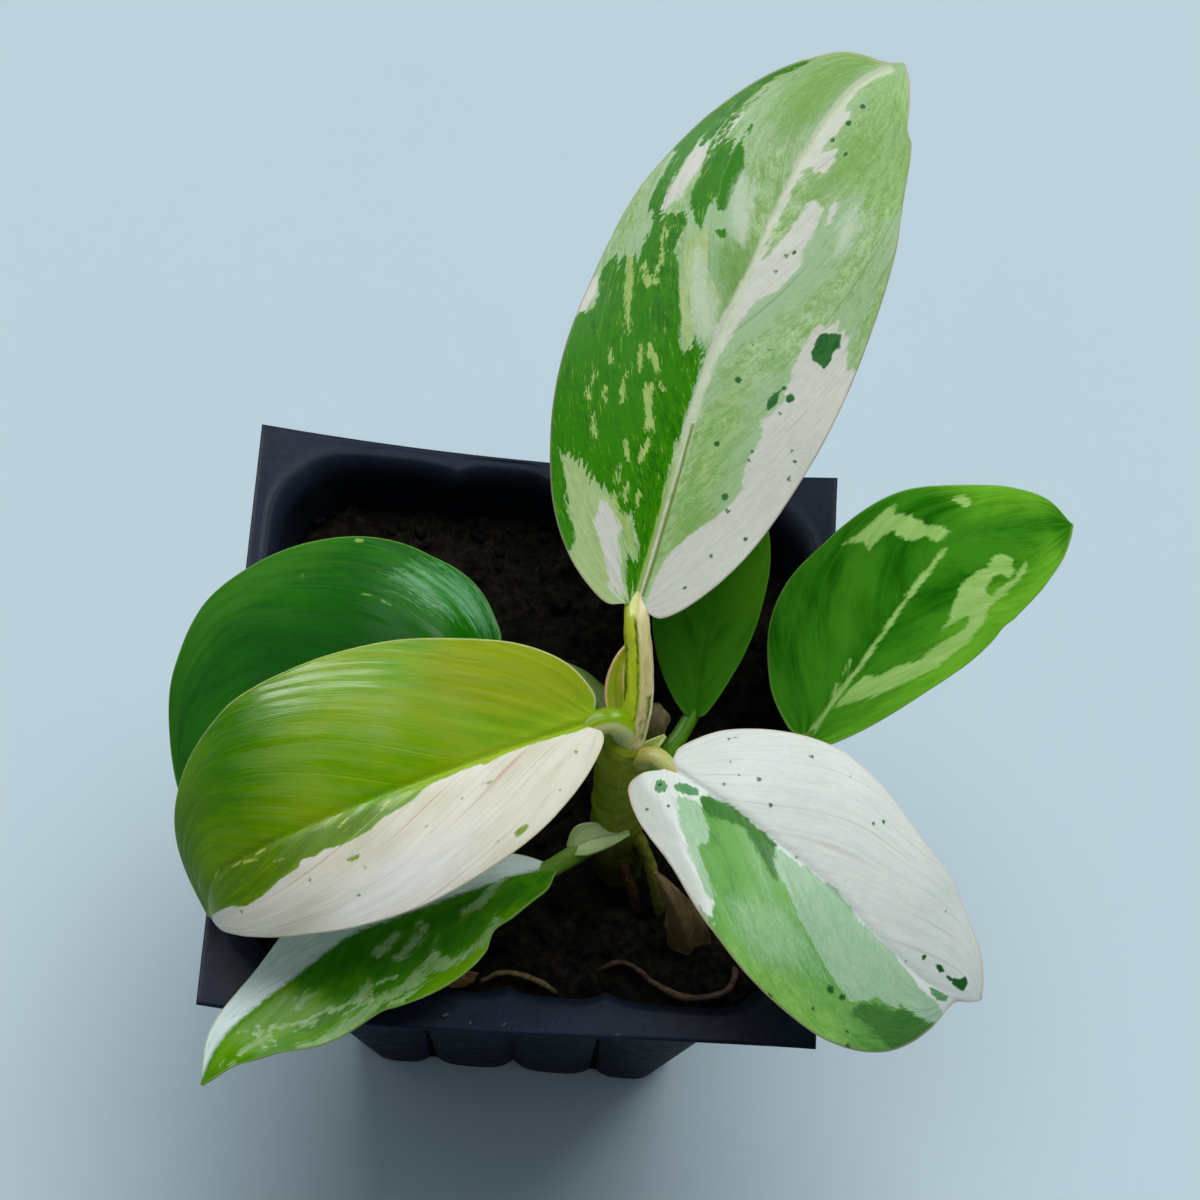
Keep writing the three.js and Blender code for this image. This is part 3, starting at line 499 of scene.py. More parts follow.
LOOKS = {
    "leaf_back_large": dict(
        base=fill((184, 212, 162), (126, 172, 92), far=(164, 196, 154), vein=(0.4, (104, 148, 76)),
                  fleck=(0.5, (112, 160, 70))),
        rib=((150, 180, 70), 0.7, 0.55), rib_end=34.0, rim=((196, 176, 156), 0.5, 0.3), under=(150, 178, 130),
        mottle=(0.5, 0.26), grainy=0.95, gloss=0.015, roughness=(0, 0.34, 1, 0.34), zones=dict(
        olive=fill((96, 148, 52), (128, 172, 88), soft=2.6, jag=1.5, fingers=2.0, amount=0.8, areas=[
            [(62.5, -4), (60, -1), (56, 0.5), (53.5, 0.5), (51, -0.5), (49, -1.5), (51.5, -3), (52, -4.5),
             (55.5, -6), (58.5, -6.5)],
            [(96, -3), (92.5, -1.5), (89, -2), (84, -2), (80, -3), (77, -5), (82, -7), (88, -6.5), (93, -5)],
            [(69, 2.5), (73, 3.5), (78, 5), (84, 6), (86, 8.5), (80, 9), (76, 7.5), (72, 5.5)],
            [(10, 4), (15, 3), (19, 4.5), (17, 8), (12, 6.5)]]),
        fresh=fill((156, 194, 112), (116, 166, 72), fleck=(0.5, (96, 148, 50)), soft=3.0, jag=1.5,
                   fingers=1.0, amount=0.6, areas=[
            [(76, 4), (84, 3.5), (92, 2), (98, 0), (101, 8), (92, 16), (80, 19), (74, 16)],
            [(4, 3), (12, 4), (22, 9), (36, 8.5), (40, 4), (30, 2.2), (16, 2)],
            [(84, -1), (97, -1), (97, -6), (86, -10), (80, -8)]]),
        lime=fill((182, 206, 150), (162, 192, 124), vein=(0.25, (128, 168, 74)), fleck=(0.6, (120, 164, 60)),
                  soft=0.35, jag=0.4, fingers=1.6, areas=[
            [(20.5, -18.5), (20, -16), (20, -14.5), (18.5, -13), (17, -11.5), (16, -10), (16.5, -8),
             (14.5, -6.5), (12.5, -5.5), (10, -6), (7.5, -5), (5, -3), (2, -1.5), (0, -0.5), (-2, -4.5),
             (-1, -8.5), (3, -12.5), (6, -11.5), (9, -12.5), (12.5, -14.5), (16, -16.5)],
            [(40, -4.5), (44.5, -6.5), (50, -9.5), (55.5, -11), (58.5, -11), (60, -9.5), (58, -7.5),
             (54, -6.5), (51.5, -4), (51, -2.5), (47.5, -1.5), (44.5, -1), (43, -2), (43.5, -3.5)]]),
        cream=fill((217, 220, 213), (205, 210, 197), vein=(0.4, (182, 150, 132)),
                   fleck=(0.25, (176, 196, 150)), soft=0.25, jag=0.3, fingers=1.0, areas=[
            [(14, -9.5), (13, -7), (11, -5), (8.5, -5.5), (6.5, -4), (3.5, -3), (1, -1.5), (1.5, -4.5),
             (4.5, -5.5), (8, -8), (11, -10)],
            [(-0.5, 1.5), (3, 2), (7.5, 2.5), (10, 3.5), (14, 6), (17, 8.5), (19.5, 10), (23, 11.5),
             (24.5, 10.5), (28, 11), (32, 12), (34, 11), (36, 12), (38.5, 13.5), (40.5, 13), (44, 13),
             (47.5, 12.5), (50.5, 13), (52, 13.5), (53, 15.5), (53.5, 18.5), (50.5, 19.5), (48, 20.5),
             (48, 26), (40, 26), (30, 24), (20, 21), (12, 18), (5, 14), (-3, 9), (-3, 3)],
            [(26, -1), (30.5, -0.7), (34, -0.2), (38.5, -0.5), (43.5, -0.6), (48.5, -0.8), (51, -0.5),
             (54.5, 0.5), (59, 0.5), (62, 1), (58.5, 2.2), (62.5, 3), (66, 3.5), (69.5, 4), (70, 6), (69, 7),
             (66, 7.5), (63, 7), (59.5, 7), (57, 6.5), (54.5, 5.5), (52.5, 3.5), (50, 2.5), (47.5, 2),
             (44, 1.6), (40.5, 1.2), (36.5, 1), (32.5, 1.2), (29, 0.9)],
            [(61.5, 1.2), (64.5, 0.5), (70.5, 0), (76.5, 0.1), (82.5, -0.4), (87, 0), (92, -0.4), (97, -0.8),
             (93, 0.4), (90, 1), (87.5, 1.5), (86.5, 2.5), (83.5, 2.5), (81, 2), (79.5, 2), (81, 4),
             (79.5, 5), (76.5, 4.5), (75.5, 3), (76.5, 1.5), (74, 1.4), (70, 1), (66, 1)],
            [(58.5, -16.5), (61.5, -17), (64, -16.5), (69.5, -16.5), (72.5, -15), (73, -14.3), (70, -13.8),
             (68, -14), (65.5, -14.5), (63.5, -14.6), (61, -15)],
            [(48, -27), (45.5, -21.3), (43, -20.8), (41.5, -21.4), (38, -27)]], streaks=[
            (0.8, [(72.5, -13), (75.5, -12.6), (79, -12.2)]), (0.7, [(68.5, 8.5), (72.5, 8.2)]),
            (0.7, [(0.5, 0.7), (10, 0.6), (20, 0.5), (27, 0.2)])]),
        dark=fill((62, 144, 2), (26, 102, 0), far=(52, 132, 4), vein=(0.4, (90, 156, 20)),
                  fleck=(0.7, (140, 184, 70)), soft=0.18, jag=0.35, fingers=1.8, areas=[
            [(38, -27), (30.5, -26), (20, -24), (11, -20), (6.5, -16), (5, -12), (7, -11.6), (9, -12.5),
             (12.5, -14.5), (16, -16.5), (20, -18.5), (20, -14.5), (18.5, -13), (17, -11.5), (16, -10),
             (15.5, -8), (13.5, -6), (13.5, -4.5), (11, -3), (9, -1.5), (7.5, -2), (6, -3), (2, -1.5),
             (0.5, -0.3), (7.5, -0.2), (15.5, -0.3), (23, -0.9), (32, -1), (34.5, -0.3), (37.5, -1), (41, -2),
             (43.5, -3.5), (42, -4), (40, -4), (42.5, -6), (47.5, -8), (52, -10.5), (53.5, -12), (59.5, -12),
             (60, -13), (59, -15), (58, -17), (51, -17), (51, -18.5), (49, -19.5), (49.5, -21), (46, -21.5),
             (43, -20), (41, -21)],
            [(42.5, -2), (42, -1), (38.5, -0.6), (39.5, -1.5)],
            [(57.5, -18), (60, -19), (64.5, -18.6), (69.5, -18.4), (71.5, -21), (77.5, -19), (82.5, -17),
             (88, -14), (92, -10), (91, -7.8), (87.5, -8.6), (85, -10), (82, -11.5), (77.5, -12.6),
             (76, -13.5), (72.5, -14.2), (72.5, -16), (68, -16.6), (63.5, -17), (58.5, -16.7)],
            [(72.5, -14), (76, -13), (77.5, -12.5), (74.5, -12.3)],
            [(60.5, -12), (63, -13), (68.5, -13.5), (71.5, -14), (74, -11.5), (72, -11), (73.5, -10),
             (73.5, -9), (71, -7.5), (69, -7.5), (66.5, -8), (64, -9), (61.5, -9), (59, -10)],
            [(60.5, -8), (59.5, -6), (60.5, -5.5), (62, -6.5)],
            [(74.5, -10), (75.5, -10.2), (76.2, -9.4), (75, -8.8)]]),
        islands=fill((40, 100, 44), (58, 118, 58), soft=0.12, jag=0.22, areas=[
            [(50, 14.3), (51.5, 14.5), (52.2, 16), (53, 17.5), (51, 18.2), (49.5, 17.5), (47.5, 17.8),
             (46.3, 17.4), (47, 16), (46.8, 15), (48, 14.3)],
            [(35.6, 11.4), (37.5, 10.8), (39.2, 11.4), (40, 12.3), (37.5, 12.4)],
            [(39, 13.3), (40.3, 14), (39.5, 14.8), (38, 14.1)]], spots=[
            (39, 5.5, 0.55), (45.5, 5.5, 0.35), (47.5, 7.5, 0.35), (45.5, 8, 0.35), (20.5, 9, 0.55),
            (28, 5.5, 0.45), (27, 11, 0.35), (28.5, 11, 0.35), (26, 18, 0.4), (30.5, 17, 0.35),
            (29, 18, 0.35), (18.5, 10, 0.35), (15, 14, 0.35), (11, 9.5, 0.35), (60.5, 4.5, 0.35),
            (61.5, 5.5, 0.35), (85.5, 3, 0.5), (81.5, 2.6, 0.4), (80.5, 5.5, 0.45), (89.5, 3, 0.45),
            (36, 13.4, 0.35), (40.5, 12.7, 0.45), (5, 7, 0.3), (57.5, 4, 0.3)]),
        strokes=fill((176, 202, 122), (150, 186, 92), soft=0.2, jag=0.55, fingers=0.8, streaks=[
            (1.1, [(50, -18), (45.5, -16), (42, -14.5), (40, -13.5)]), (1.0, [(50, -15.5), (47.5, -13.5)]),
            (1.0, [(38.5, -9.5), (37.5, -8), (36, -7)]), (0.6, [(39, -11), (35.5, -9.5)]),
            (1.2, [(33.5, -7.5), (31.5, -7), (29, -6), (27, -5.5)]), (0.9, [(25, -5), (22, -5.5)]),
            (0.8, [(27.5, -15), (24, -13.5)]), (0.6, [(37, -15), (35.5, -14.5)]),
            (0.7, [(33.5, -11.5), (30.5, -11)]), (0.7, [(30.5, -17), (29.5, -16)]),
            (0.6, [(33.5, -16.5), (31.5, -16)]), (0.7, [(24.5, -8.5), (21.5, -7.5)]),
            (0.6, [(20.5, -8.5), (18.5, -8)]), (0.6, [(18, -6.5), (16, -6)]), (0.6, [(17, -4), (15, -4)]),
            (0.6, [(34, -6), (33.5, -5)]), (0.8, [(15.5, -8), (13, -6), (10.5, -4), (8.5, -3)]),
            (0.8, [(13, -5.5), (8, -2.5)]), (0.6, [(51, -13.5), (48.5, -12.5)]),
            (0.7, [(52, -13), (55, -14.5), (57, -15)]), (0.6, [(31.5, -14), (29.5, -13.5)]),
            (0.6, [(55.5, -15), (58, -13.5)])]),
        # Painted highlight: pale patches painted where a soft sheen falls on the blade
        whitish=fill((206, 222, 202), (192, 214, 184), soft=0.9, jag=0.7, fingers=1.2, amount=0.75, areas=[
            [(43, -3), (47, -6), (52, -8.5), (56, -9.5), (56, -8), (52, -5), (49, -2.5), (45, -1.5)],
            [(60, -2.5), (65, -3.5), (69, -5), (70, -7.5), (67, -7.8), (63, -6.5), (59, -4)],
            [(64, 12), (70, 10), (74, 11), (70, 13.5)]]),
        rib_line=fill((208, 218, 194), (192, 208, 174), soft=0.35, jag=0.2, streaks=[
            (1.7, [(20, 0.6), (34, 0.4), (46, 0.3), (54, 0.3)]), (1.1, [(54, 0.3), (64, 0.2), (74, 0)]),
            (1.6, [(74, 0), (86, 0), (98, 0)])]),
        vein_edge=fill((110, 136, 52), (126, 150, 66), soft=0.15, jag=0.05, streaks=[
            (0.5, [(30, 0.9), (24, 1.1), (16, 1.2), (8, 1.2), (2, 1.0)])]))),
    "leaf_left_arching": dict(
        base=fill((118, 164, 0), (96, 152, 0), far=(128, 162, 4), vein=(0.3, (146, 176, 20))),
        rim=((206, 206, 150), 0.5, 0.3), under=(160, 186, 110), gloss=0.031, roughness=(14, 0.8, 30, 0.24),
        relief=0.06, streaky=0.4, zones=dict(
        deep=fill((66, 130, 0), (50, 116, 0), soft=9.0, jag=1.5, amount=0.95, areas=[
            [(46, 26), (52, 8), (60, 3), (66, 6), (72, 14), (64, 28)]]),
        olive=fill((144, 156, 4), (130, 146, 6), soft=3.0, jag=1.2, amount=0.75, areas=[
            [(-1.5, 4.5), (3, 3.5), (10, 4), (16.5, 5.5), (21.5, 9), (25, 12.5), (25.5, 16.5), (21, 20),
             (15, 22), (6, 20), (-3, 12)]]),
        grey=fill((76, 122, 16), (62, 110, 10), soft=4.0, jag=1.0, amount=0.8, areas=[
            [(86, -3), (73.5, 2.5), (70, 8), (66, 10), (66, 14), (76, 14), (86, 6)]]),
        lower=fill((92, 130, 0), (72, 112, 0), fleck=(0.5, (140, 164, 20)), soft=1.6, jag=1.2, amount=0.85,
                   areas=[
            [(34, -2), (42, -4.5), (50, -5.5), (60, -7), (70, -6.5), (80, -3), (78, 0), (66, 0.8), (54, 0),
             (42, -1)]]),
        lime=fill((160, 190, 30), (138, 172, 16), soft=1.4, jag=0.9, amount=0.7, areas=[
            [(-1, 2.3), (4.5, 2.4), (10.5, 2), (17.5, 1.5), (24.5, 1.2), (31.5, -0.3), (37, -2), (29, -1.6),
             (20, -1.6), (10, -1.6), (0, -1.6)]]),
        cream=fill((214, 212, 196), (205, 203, 182), far=(222, 220, 208), vein=(0.6, (176, 142, 118)),
                   soft=0.15, jag=0.12, fingers=0.4, areas=[
            [(-4, -0.4), (4.5, -0.8), (11.5, -0.5), (17.5, -0.5), (20.5, -1), (24, -0.5), (29, -1),
             (31.5, -1.5), (33.5, -2.5), (38.5, -3.5), (41, -4.5), (44.5, -5), (46, -5), (48.5, -4.5),
             (50.5, -5), (52.5, -4.5), (54, -5.5), (58, -6), (60, -6.6), (62, -7), (66, -7.2), (69.5, -6),
             (75.5, -4.6), (82, -2), (90, -2), (90, -24), (-6, -24)]]),
        # Painted reflection: a bluish-white sheen painted on the cream half
        bloom=fill((230, 234, 234), (218, 222, 218), soft=3.5, jag=1.5, amount=0.75, areas=[
            [(27, -10.5), (36, -9.5), (46, -11), (53, -13.5), (48, -17.5), (38, -17.5), (29, -15)]]),
        strokes=fill((196, 202, 120), (176, 190, 90), soft=0.2, jag=0.2, streaks=[
            (0.3, [(45.5, -2.2), (43.6, -1.4)]), (0.25, [(38.5, -2.2), (36.8, -1.4)]),
            (0.3, [(66.5, -0.5), (64.4, -0.4)]), (0.3, [(72, 0), (70, 0.6)]),
            (0.22, [(60.5, -0.5), (58.6, -0.4)]), (0.25, [(63.5, -0.7), (60.5, -1.4)]),
            (0.22, [(55.5, -3.2), (57.5, -3)])]),
        flecks=fill((128, 158, 60), (112, 146, 44), soft=0.15, jag=0.2, streaks=[
            (0.4, [(23, -4), (21.5, -4)]), (0.8, [(21, -13), (19.5, -12.5)]),
            (0.5, [(45.5, -7.5), (44, -7.5)])], spots=[
            (26.5, -5, 0.3), (6.5, -4, 0.3), (52.5, -8, 0.35), (67.5, -7.6, 0.4), (24, -13, 0.3),
            (43.5, -9.5, 0.3), (46, -13, 0.3), (12, -9, 0.25), (33, -7, 0.25)]))),
    "leaf_front_right": dict(
        base=fill((219, 227, 222), (209, 219, 215), vein=(0.34, (180, 158, 150)),
                  fleck=(0.12, (176, 190, 170))),
        rim=((206, 178, 158), 0.5, 0.35), under=(190, 200, 176), mottle=(0.5, 0.26), grainy=0.95, gloss=0.012,
        subsurface=0.18, zones=dict(
        sage=fill((168, 202, 170), (150, 188, 152), vein=(0.2, (132, 164, 122)), soft=0.18, jag=0.3,
                  fingers=0.5, areas=[
            [(21, 1), (25, 0.4), (30.5, 0), (34, -0.5), (40, 0), (48, 0), (52, 0.5), (56.5, 1.5), (60.5, 2),
             (65, 5), (61.5, 6), (53.5, 8), (46, 11), (40.5, 12), (33, 10), (26.5, 6)],
            [(5.5, 4.2), (7, 3), (9, 2.5), (13, 3.5), (15, 7.5), (15, 8.5), (18, 11), (21, 13.5), (19, 14),
             (15.5, 11.5), (13, 10), (11, 8.5), (9, 6.5)]]),
        green=fill((108, 168, 82), (68, 136, 56), far=(116, 172, 92), vein=(0.35, (146, 186, 114)),
                   fleck=(0.4, (88, 144, 52)), soft=0.14, jag=0.3, fingers=0.4, areas=[
            [(8.5, 1.5), (9, 0.5), (13, -0.5), (19.5, -0.1), (22, 0), (24, 3.5), (28.5, 5.5), (31.5, 7),
             (34.5, 8), (39.5, 9.5), (46, 10.5), (47.5, 9.5), (49.5, 7.5), (53.5, 6.5), (54, 5.5),
             (59.5, 5.5), (63, 5), (64, 9), (58, 15), (50, 21), (40, 23), (28, 22.5), (24, 21), (23.5, 17.8),
             (21.5, 15.5), (20, 13), (17, 11), (13.5, 8.5), (14, 7), (13.5, 5.5), (12, 4.5), (10, 3)],
            *ISLES], streaks=[
            (0.7, [(19, 16.4), (21, 16.5), (23.5, 17.6)])]),
        low=fill((156, 206, 110), (120, 180, 76), fleck=(0.4, (96, 152, 56)), soft=4.0, jag=1.2, amount=0.8,
                 areas=[
            [(26, 17), (36, 15), (46, 14), (52, 16), (44, 24), (30, 24)]]),
        pale=fill((160, 200, 158), (136, 184, 126), soft=2.2, jag=1.2, fingers=0.6, amount=0.85, areas=[
            [(22, 12.5), (24, 10), (27.5, 8.5), (30.5, 7.5), (34, 8.5), (39, 9.6), (41, 11), (37, 13),
             (35, 15), (32, 16.5), (28, 16), (25, 14.5)]], streaks=[
            (0.5, [(16, 0.3), (18.5, 2), (21, 4), (24, 6), (26.5, 8.5)])]),
        dark=fill((68, 122, 56), (52, 104, 44), soft=0.4, jag=0.5, amount=0.85, areas=[
            [(47, 11), (49.5, 8.3), (53.5, 6.8), (54.5, 5.7), (60, 5.4), (64, 5), (62, 9.5), (57, 12),
             (52.5, 11.5), (48, 12)],
            [(8.6, 1.7), (9.2, 0.4), (13, -0.4), (19.5, -0.1), (22, 0), (24, 3.2), (25.5, 5), (23.5, 4.6),
             (20, 3), (17, 1.4), (14, 2.2), (12, 3.4), (10, 3)]]),
        isles=fill((104, 156, 110), (84, 138, 90), soft=0.15, jag=0.3, areas=ISLES),
        shade=fill((188, 194, 186), (178, 186, 178), soft=0.8, jag=0.5, amount=0.8, areas=[
            [(-3, 4), (1, 5.7), (5, 6.4), (9, 8), (13, 11), (17, 13.5), (20, 16), (23, 19), (20, 24), (0, 18),
             (-5, 8)]]),
        marks=fill((30, 84, 36), (44, 98, 44), soft=0.15, jag=0.2, areas=[
            [(62, -2.6), (64.5, -2.7), (65.2, -3.2), (66.2, -2), (65.8, -0.8), (64, -1), (62.4, -1.5)],
            [(56.5, -3), (58, -3.6), (59.6, -3), (58.5, -2.4)],
            [(60, -2.6), (61.5, -2.7), (62.6, -2), (61.5, -1.8)]], spots=[
            (43, 11.5, 0.6), (45, 11, 0.55), (50.5, 16, 0.5), (37, 19, 0.45), (43, 15.5, 0.4),
            (49, 14.5, 0.35), (19.5, 16, 0.4), (53.5, -3, 0.5), (5.5, -9, 0.25), (6.3, -9.8, 0.25),
            (18, -14.5, 0.35), (8.5, -6, 0.25), (14, -6.3, 0.4), (18, -4, 0.4), (33, -14, 0.35),
            (32, -12.5, 0.25), (28, -16.5, 0.25), (25, -16, 0.25), (26, -0.2, 0.35), (34, -2.5, 0.25),
            (51, -0.5, 0.25), (53, -11, 0.25), (4, 8.5, 0.25), (6, 6, 0.25), (10, -2.5, 0.25), (11, -5, 0.25),
            (2, 3.8, 0.3)]))),
    "leaf_right_green": dict(
        base=fill((38, 110, 14), (24, 88, 8), far=(60, 130, 26), vein=(0.35, (70, 140, 34))),
        rim=((120, 164, 70), 0.6, 0.35), under=(96, 142, 70), gloss=0.0, zones=dict(
        light=fill((116, 180, 48), (92, 164, 34), soft=4.0, jag=1.2, amount=0.85, areas=[
            [(44, -16), (48, -4), (60, -3), (70, -8)],
            [(2, 3), (12, 6), (24, 9.5), (38, 10), (50, 8.5), (60, 3), (66, 12), (44, 24), (10, 18)]]),
        lime=fill((156, 194, 114), (134, 180, 90), vein=(0.25, (100, 156, 60)), fleck=(0.4, (96, 152, 52)),
                  soft=0.3, jag=0.3, fingers=0.4, areas=[
            [(30, -14), (33.5, -12), (37.5, -11.5), (38.5, -11), (37.5, -10), (39, -8), (39.5, -5), (42, -3),
             (42, -2), (40, -1.5), (38, -3.5), (36, -5.5), (35.5, -8.5), (34.5, -9), (31.5, -9.5), (32, -11),
             (31, -12.5)],
            [(6.5, 0.7), (9.5, 1), (13.5, 2), (15, 4), (17, 5), (19, 6.5), (21, 8), (25.5, 9), (30, 11),
             (33, 11), (33, 10), (30.5, 9.5), (27.5, 8), (30, 8), (34, 7), (36.5, 6.5), (40.5, 6), (44.5, 6),
             (47.5, 4.5), (49, 4.5), (50.5, 5.5), (50, 7.5), (48, 9), (46.5, 7.5), (44, 8), (41.5, 9.5),
             (42, 11), (45.5, 10), (49.5, 9), (51.5, 7.5), (53.5, 6.5), (52.5, 8), (49.5, 10), (45, 11.5),
             (36.5, 13), (29, 13), (26, 12), (22, 11), (18, 9), (14.5, 7), (11.5, 5), (9, 3)],
            [(45.6, -7.6), (47.5, -7.6), (47.8, -6), (46.5, -5), (45.4, -6)]], streaks=[
            (0.8, [(0, -0.2), (7.5, 0), (15.5, 0.5), (23, 0.5), (31.5, 0.4), (36, 0.6), (40, 0)]),
            (0.5, [(10, -1), (8, -0.5)]), (0.5, [(12, -1), (14.5, -1.4)])]))),
    "leaf_left_low": dict(
        base=fill((20, 100, 0), (8, 82, 0), far=(28, 108, 0), vein=(0.4, (40, 118, 4))),
        rim=((110, 160, 60), 0.6, 0.3), under=(80, 128, 58), gloss=0.021, roughness=(12, 0.28, 24, 0.9),
        relief=0.05, streaky=0.3, zones=dict(
        deep=fill((0, 72, 0), (8, 84, 0), soft=6.0, jag=1.5, amount=0.9, areas=[
            [(10, 2), (22, 10), (36, 10), (44, 4), (40, -4), (24, -6), (12, -3)]]),
        bright=fill((56, 122, 20), (46, 112, 14), soft=3.5, jag=1.2, amount=0.75, areas=[
            [(24, 17), (40, 15), (52, 9), (62, 2), (66, 8), (40, 30), (20, 28)]]),
        # Painted sheen: a pale bluish-green sheen painted on the lobe by the petiole
        bloom=fill((126, 184, 142), (54, 132, 52), soft=2.0, jag=2.6, fingers=2.0, amount=0.75, areas=[
            [(0.5, 5), (6, 7.5), (13, 9.5), (16, 12.5), (11, 16), (4, 13.5), (-1, 8)]]),
        flecks=fill((130, 170, 84), (104, 150, 60), soft=0.15, jag=0.2, streaks=[
            (0.25, [(20.6, 10.3), (19, 9.5)]), (0.25, [(18, 8.8), (16.8, 8)])], spots=[
            (20, 20, 0.4), (27, 16, 0.2), (12, 14, 0.2)]))),
    "leaf_front_left_folded": dict(
        base=fill((74, 142, 12), (50, 114, 6), far=(86, 150, 20), vein=(0.3, (84, 140, 30)),
                  fleck=(0.5, (110, 160, 60))),
        rim=((150, 184, 100), 0.5, 0.35), under=(104, 138, 92), mottle=(0.6, 0.2), gloss=0.006, zones=dict(
        bright=fill((98, 158, 4), (82, 144, 0), far=(112, 166, 20), soft=1.2, jag=0.8, fingers=0.8, areas=[
            [(30, -15), (28.5, -13.5), (27, -12.5), (24.5, -12), (22, -12), (19, -10.5), (16, -9), (10, -5.5),
             (8, -7), (14, -12), (18.5, -15), (24, -17), (30, -18)],
            [(66.5, -0.5), (63.5, -1), (59.5, -1), (54.5, 0), (50.5, 0), (46.5, -2), (44.5, -6.5), (44, -9.5),
             (46.5, -8.5), (50, -7.5), (55, -7), (62, -6), (66.5, -3)],
            [(51.5, -9), (48, -10.5), (44, -11), (42.5, -12), (45, -12), (49, -11), (52, -10)]]),
        dark=fill((48, 116, 16), (64, 134, 26), soft=0.5, jag=0.5, fingers=0.8, amount=0.95, areas=[
            [(47, -2.5), (45.5, 0.5), (39, 0.5), (33.5, 0), (30.5, 0.5), (28.5, 0), (28.5, -1.5), (31, -3.5),
             (33.5, -4), (34, -5.5), (37, -6), (39, -4.5), (41.5, -5), (44, -4.5), (46, -4)],
            [(36.5, -8), (35.5, -6), (33.5, -5.5), (31.5, -7), (31, -8.5), (32, -10), (35, -10.5),
             (37, -9.5)],
            [(28, -0.5), (25.5, 0.5), (23.5, 1), (23, -0.5), (24.5, -1.5), (26, -3), (28, -3)],
            [(23.5, -2), (20.5, -2), (16, -1.5), (13, -0.5), (12.5, -2.5), (15, -3), (18, -3.5), (19.5, -5.5),
             (22, -5.5), (24, -4.5)],
            [(23, -5.5), (20, -5.5), (17.5, -5), (15.5, -5), (15.5, -7), (18, -9), (20.5, -10), (23, -10),
             (24, -8)],
            [(13, -5), (11, -3), (8.5, -2), (6, -1.5), (6, -3.5), (9, -5), (11.5, -6)],
            [(4, -1), (1, 0.5), (0.5, -0.5), (2.5, -3), (5, -3.5)],
            [(29, -7.5), (26.5, -6.5), (24, -6), (24, -7.5), (26.5, -9), (28.5, -10), (31, -11), (34, -12),
             (38.5, -12), (38.5, -11), (33, -10.5), (30.5, -9.5)],
            [(43.5, -9), (41, -9), (39.5, -9.5), (41, -10.5), (43, -10)]]),
        pale=fill((160, 192, 136), (132, 174, 106), fleck=(0.6, (176, 204, 152)), soft=0.45, jag=0.6,
                  fingers=0.5, amount=0.9, areas=[
            [(33.5, -4.5), (30.5, -3.5), (28.5, -2.5), (28, -3.5), (30.5, -5), (32.5, -6)],
            [(28.5, -6), (27, -4.5), (25.5, -4), (25, -2), (24, -2), (24, -3.5), (25.5, -5.5), (27, -6.5),
             (28.5, -7.5), (29.5, -8), (30, -7)],
            [(18, -4.5), (15, -4), (13, -3), (10.5, -1.5), (8.5, 0), (9.5, 0.5), (11.5, 0), (13, -1.5),
             (15.5, -2.5), (18, -3)],
            [(23, -6), (24.5, -8), (24, -10.5), (22.5, -11), (20, -10.5), (17.5, -9.5), (15.5, -8.5),
             (13.5, -6.5), (13, -7.5), (15, -9), (17.5, -11), (20.5, -11.5), (23, -12), (25.5, -12),
             (26.5, -10.5), (26.5, -9.5), (25, -8)],
            [(39.5, -12.5), (34, -12.5), (30.5, -12), (28.5, -11), (26.5, -9.5), (25.5, -10.5), (27, -11.5),
             (28.5, -13), (30.5, -13.5), (33.5, -14), (38.5, -13.5)],
            [(52.5, -10), (50, -11), (47, -11.5), (44.5, -12), (41.5, -12.5), (39.5, -12.5), (38.5, -14),
             (41.5, -14), (44.5, -14), (47.5, -13.5), (50.5, -12.5), (53, -11)],
            [(49, -4.5), (47, -4), (45.5, -4), (45.5, -5), (47.5, -5), (49, -5.5)],
            [(42, -10), (39.5, -9.5), (37, -9), (36.5, -10), (38.5, -11), (41, -11.5)]]),
        strokes=fill((166, 196, 140), (138, 178, 100), soft=0.15, jag=0.35, fingers=0.5, streaks=[
            (0.8, [(61.5, -4.5), (58.5, -5), (56.5, -5.5), (55, -6)]), (0.8, [(57, -4), (56.5, -5)]),
            (0.8, [(54.5, -5), (52.5, -6), (50.5, -7), (48.5, -8), (46, -8.5)]),
            (0.7, [(46, -8.5), (43, -10), (40.5, -11)]), (0.5, [(51.5, -8), (49.5, -8.5), (48, -9)]),
            (0.35, [(48.5, -3.5), (47, -3.5), (45.5, -4)]), (0.35, [(49, -3.5), (50, -4.5), (51, -5.5)]),
            (0.6, [(52.5, -10.5), (50, -11.5), (47.5, -12.5), (44.5, -13.5), (42, -13.5)]),
            (0.5, [(44, -11), (42, -11.5), (39, -12.5)]),
            (0.7, [(39.5, -12), (38, -10.5), (34.5, -10.5), (31.5, -10.5)]),
            (0.8, [(36.5, -14.5), (31, -14.5), (29, -13.5), (28, -12.5)]), (0.4, [(65.5, -2), (64, -2.5)]),
            (0.4, [(65, -3.5), (63.5, -4.5)]), (0.35, [(57, -6), (56.5, -7.5)]),
            (0.35, [(55, -7), (55, -8.5)]), (0.3, [(59, -1.5), (58, -3)]),
            (0.4, [(51.5, -12), (54.5, -10.5)]), (0.4, [(56, -3), (56, -4.5)]),
            (0.5, [(25, -2.5), (25, -4.5)]), (0.3, [(27.5, -12), (27, -13)])]),
        # Pale half: partly its own frosted colour, partly a painted sheen where it droops
        frost=fill((232, 248, 246), (206, 228, 222), far=(222, 240, 238), vein=(0.3, (130, 160, 142)),
                   fleck=(0.4, (120, 148, 130)), soft=0.5, jag=0.3, areas=[
            [(-2, 0.6), (6, 0.3), (13, 0.2), (20, 0.5), (30.5, 0.4), (41.5, 0.1), (53.5, 0), (63.5, 0.2),
             (72, 0.5), (72, 14), (-4, 14)]]))),
    "leaf_back_small": dict(
        base=fill((56, 122, 20), (42, 104, 12), far=(64, 130, 26), vein=(0.25, (66, 130, 32))),
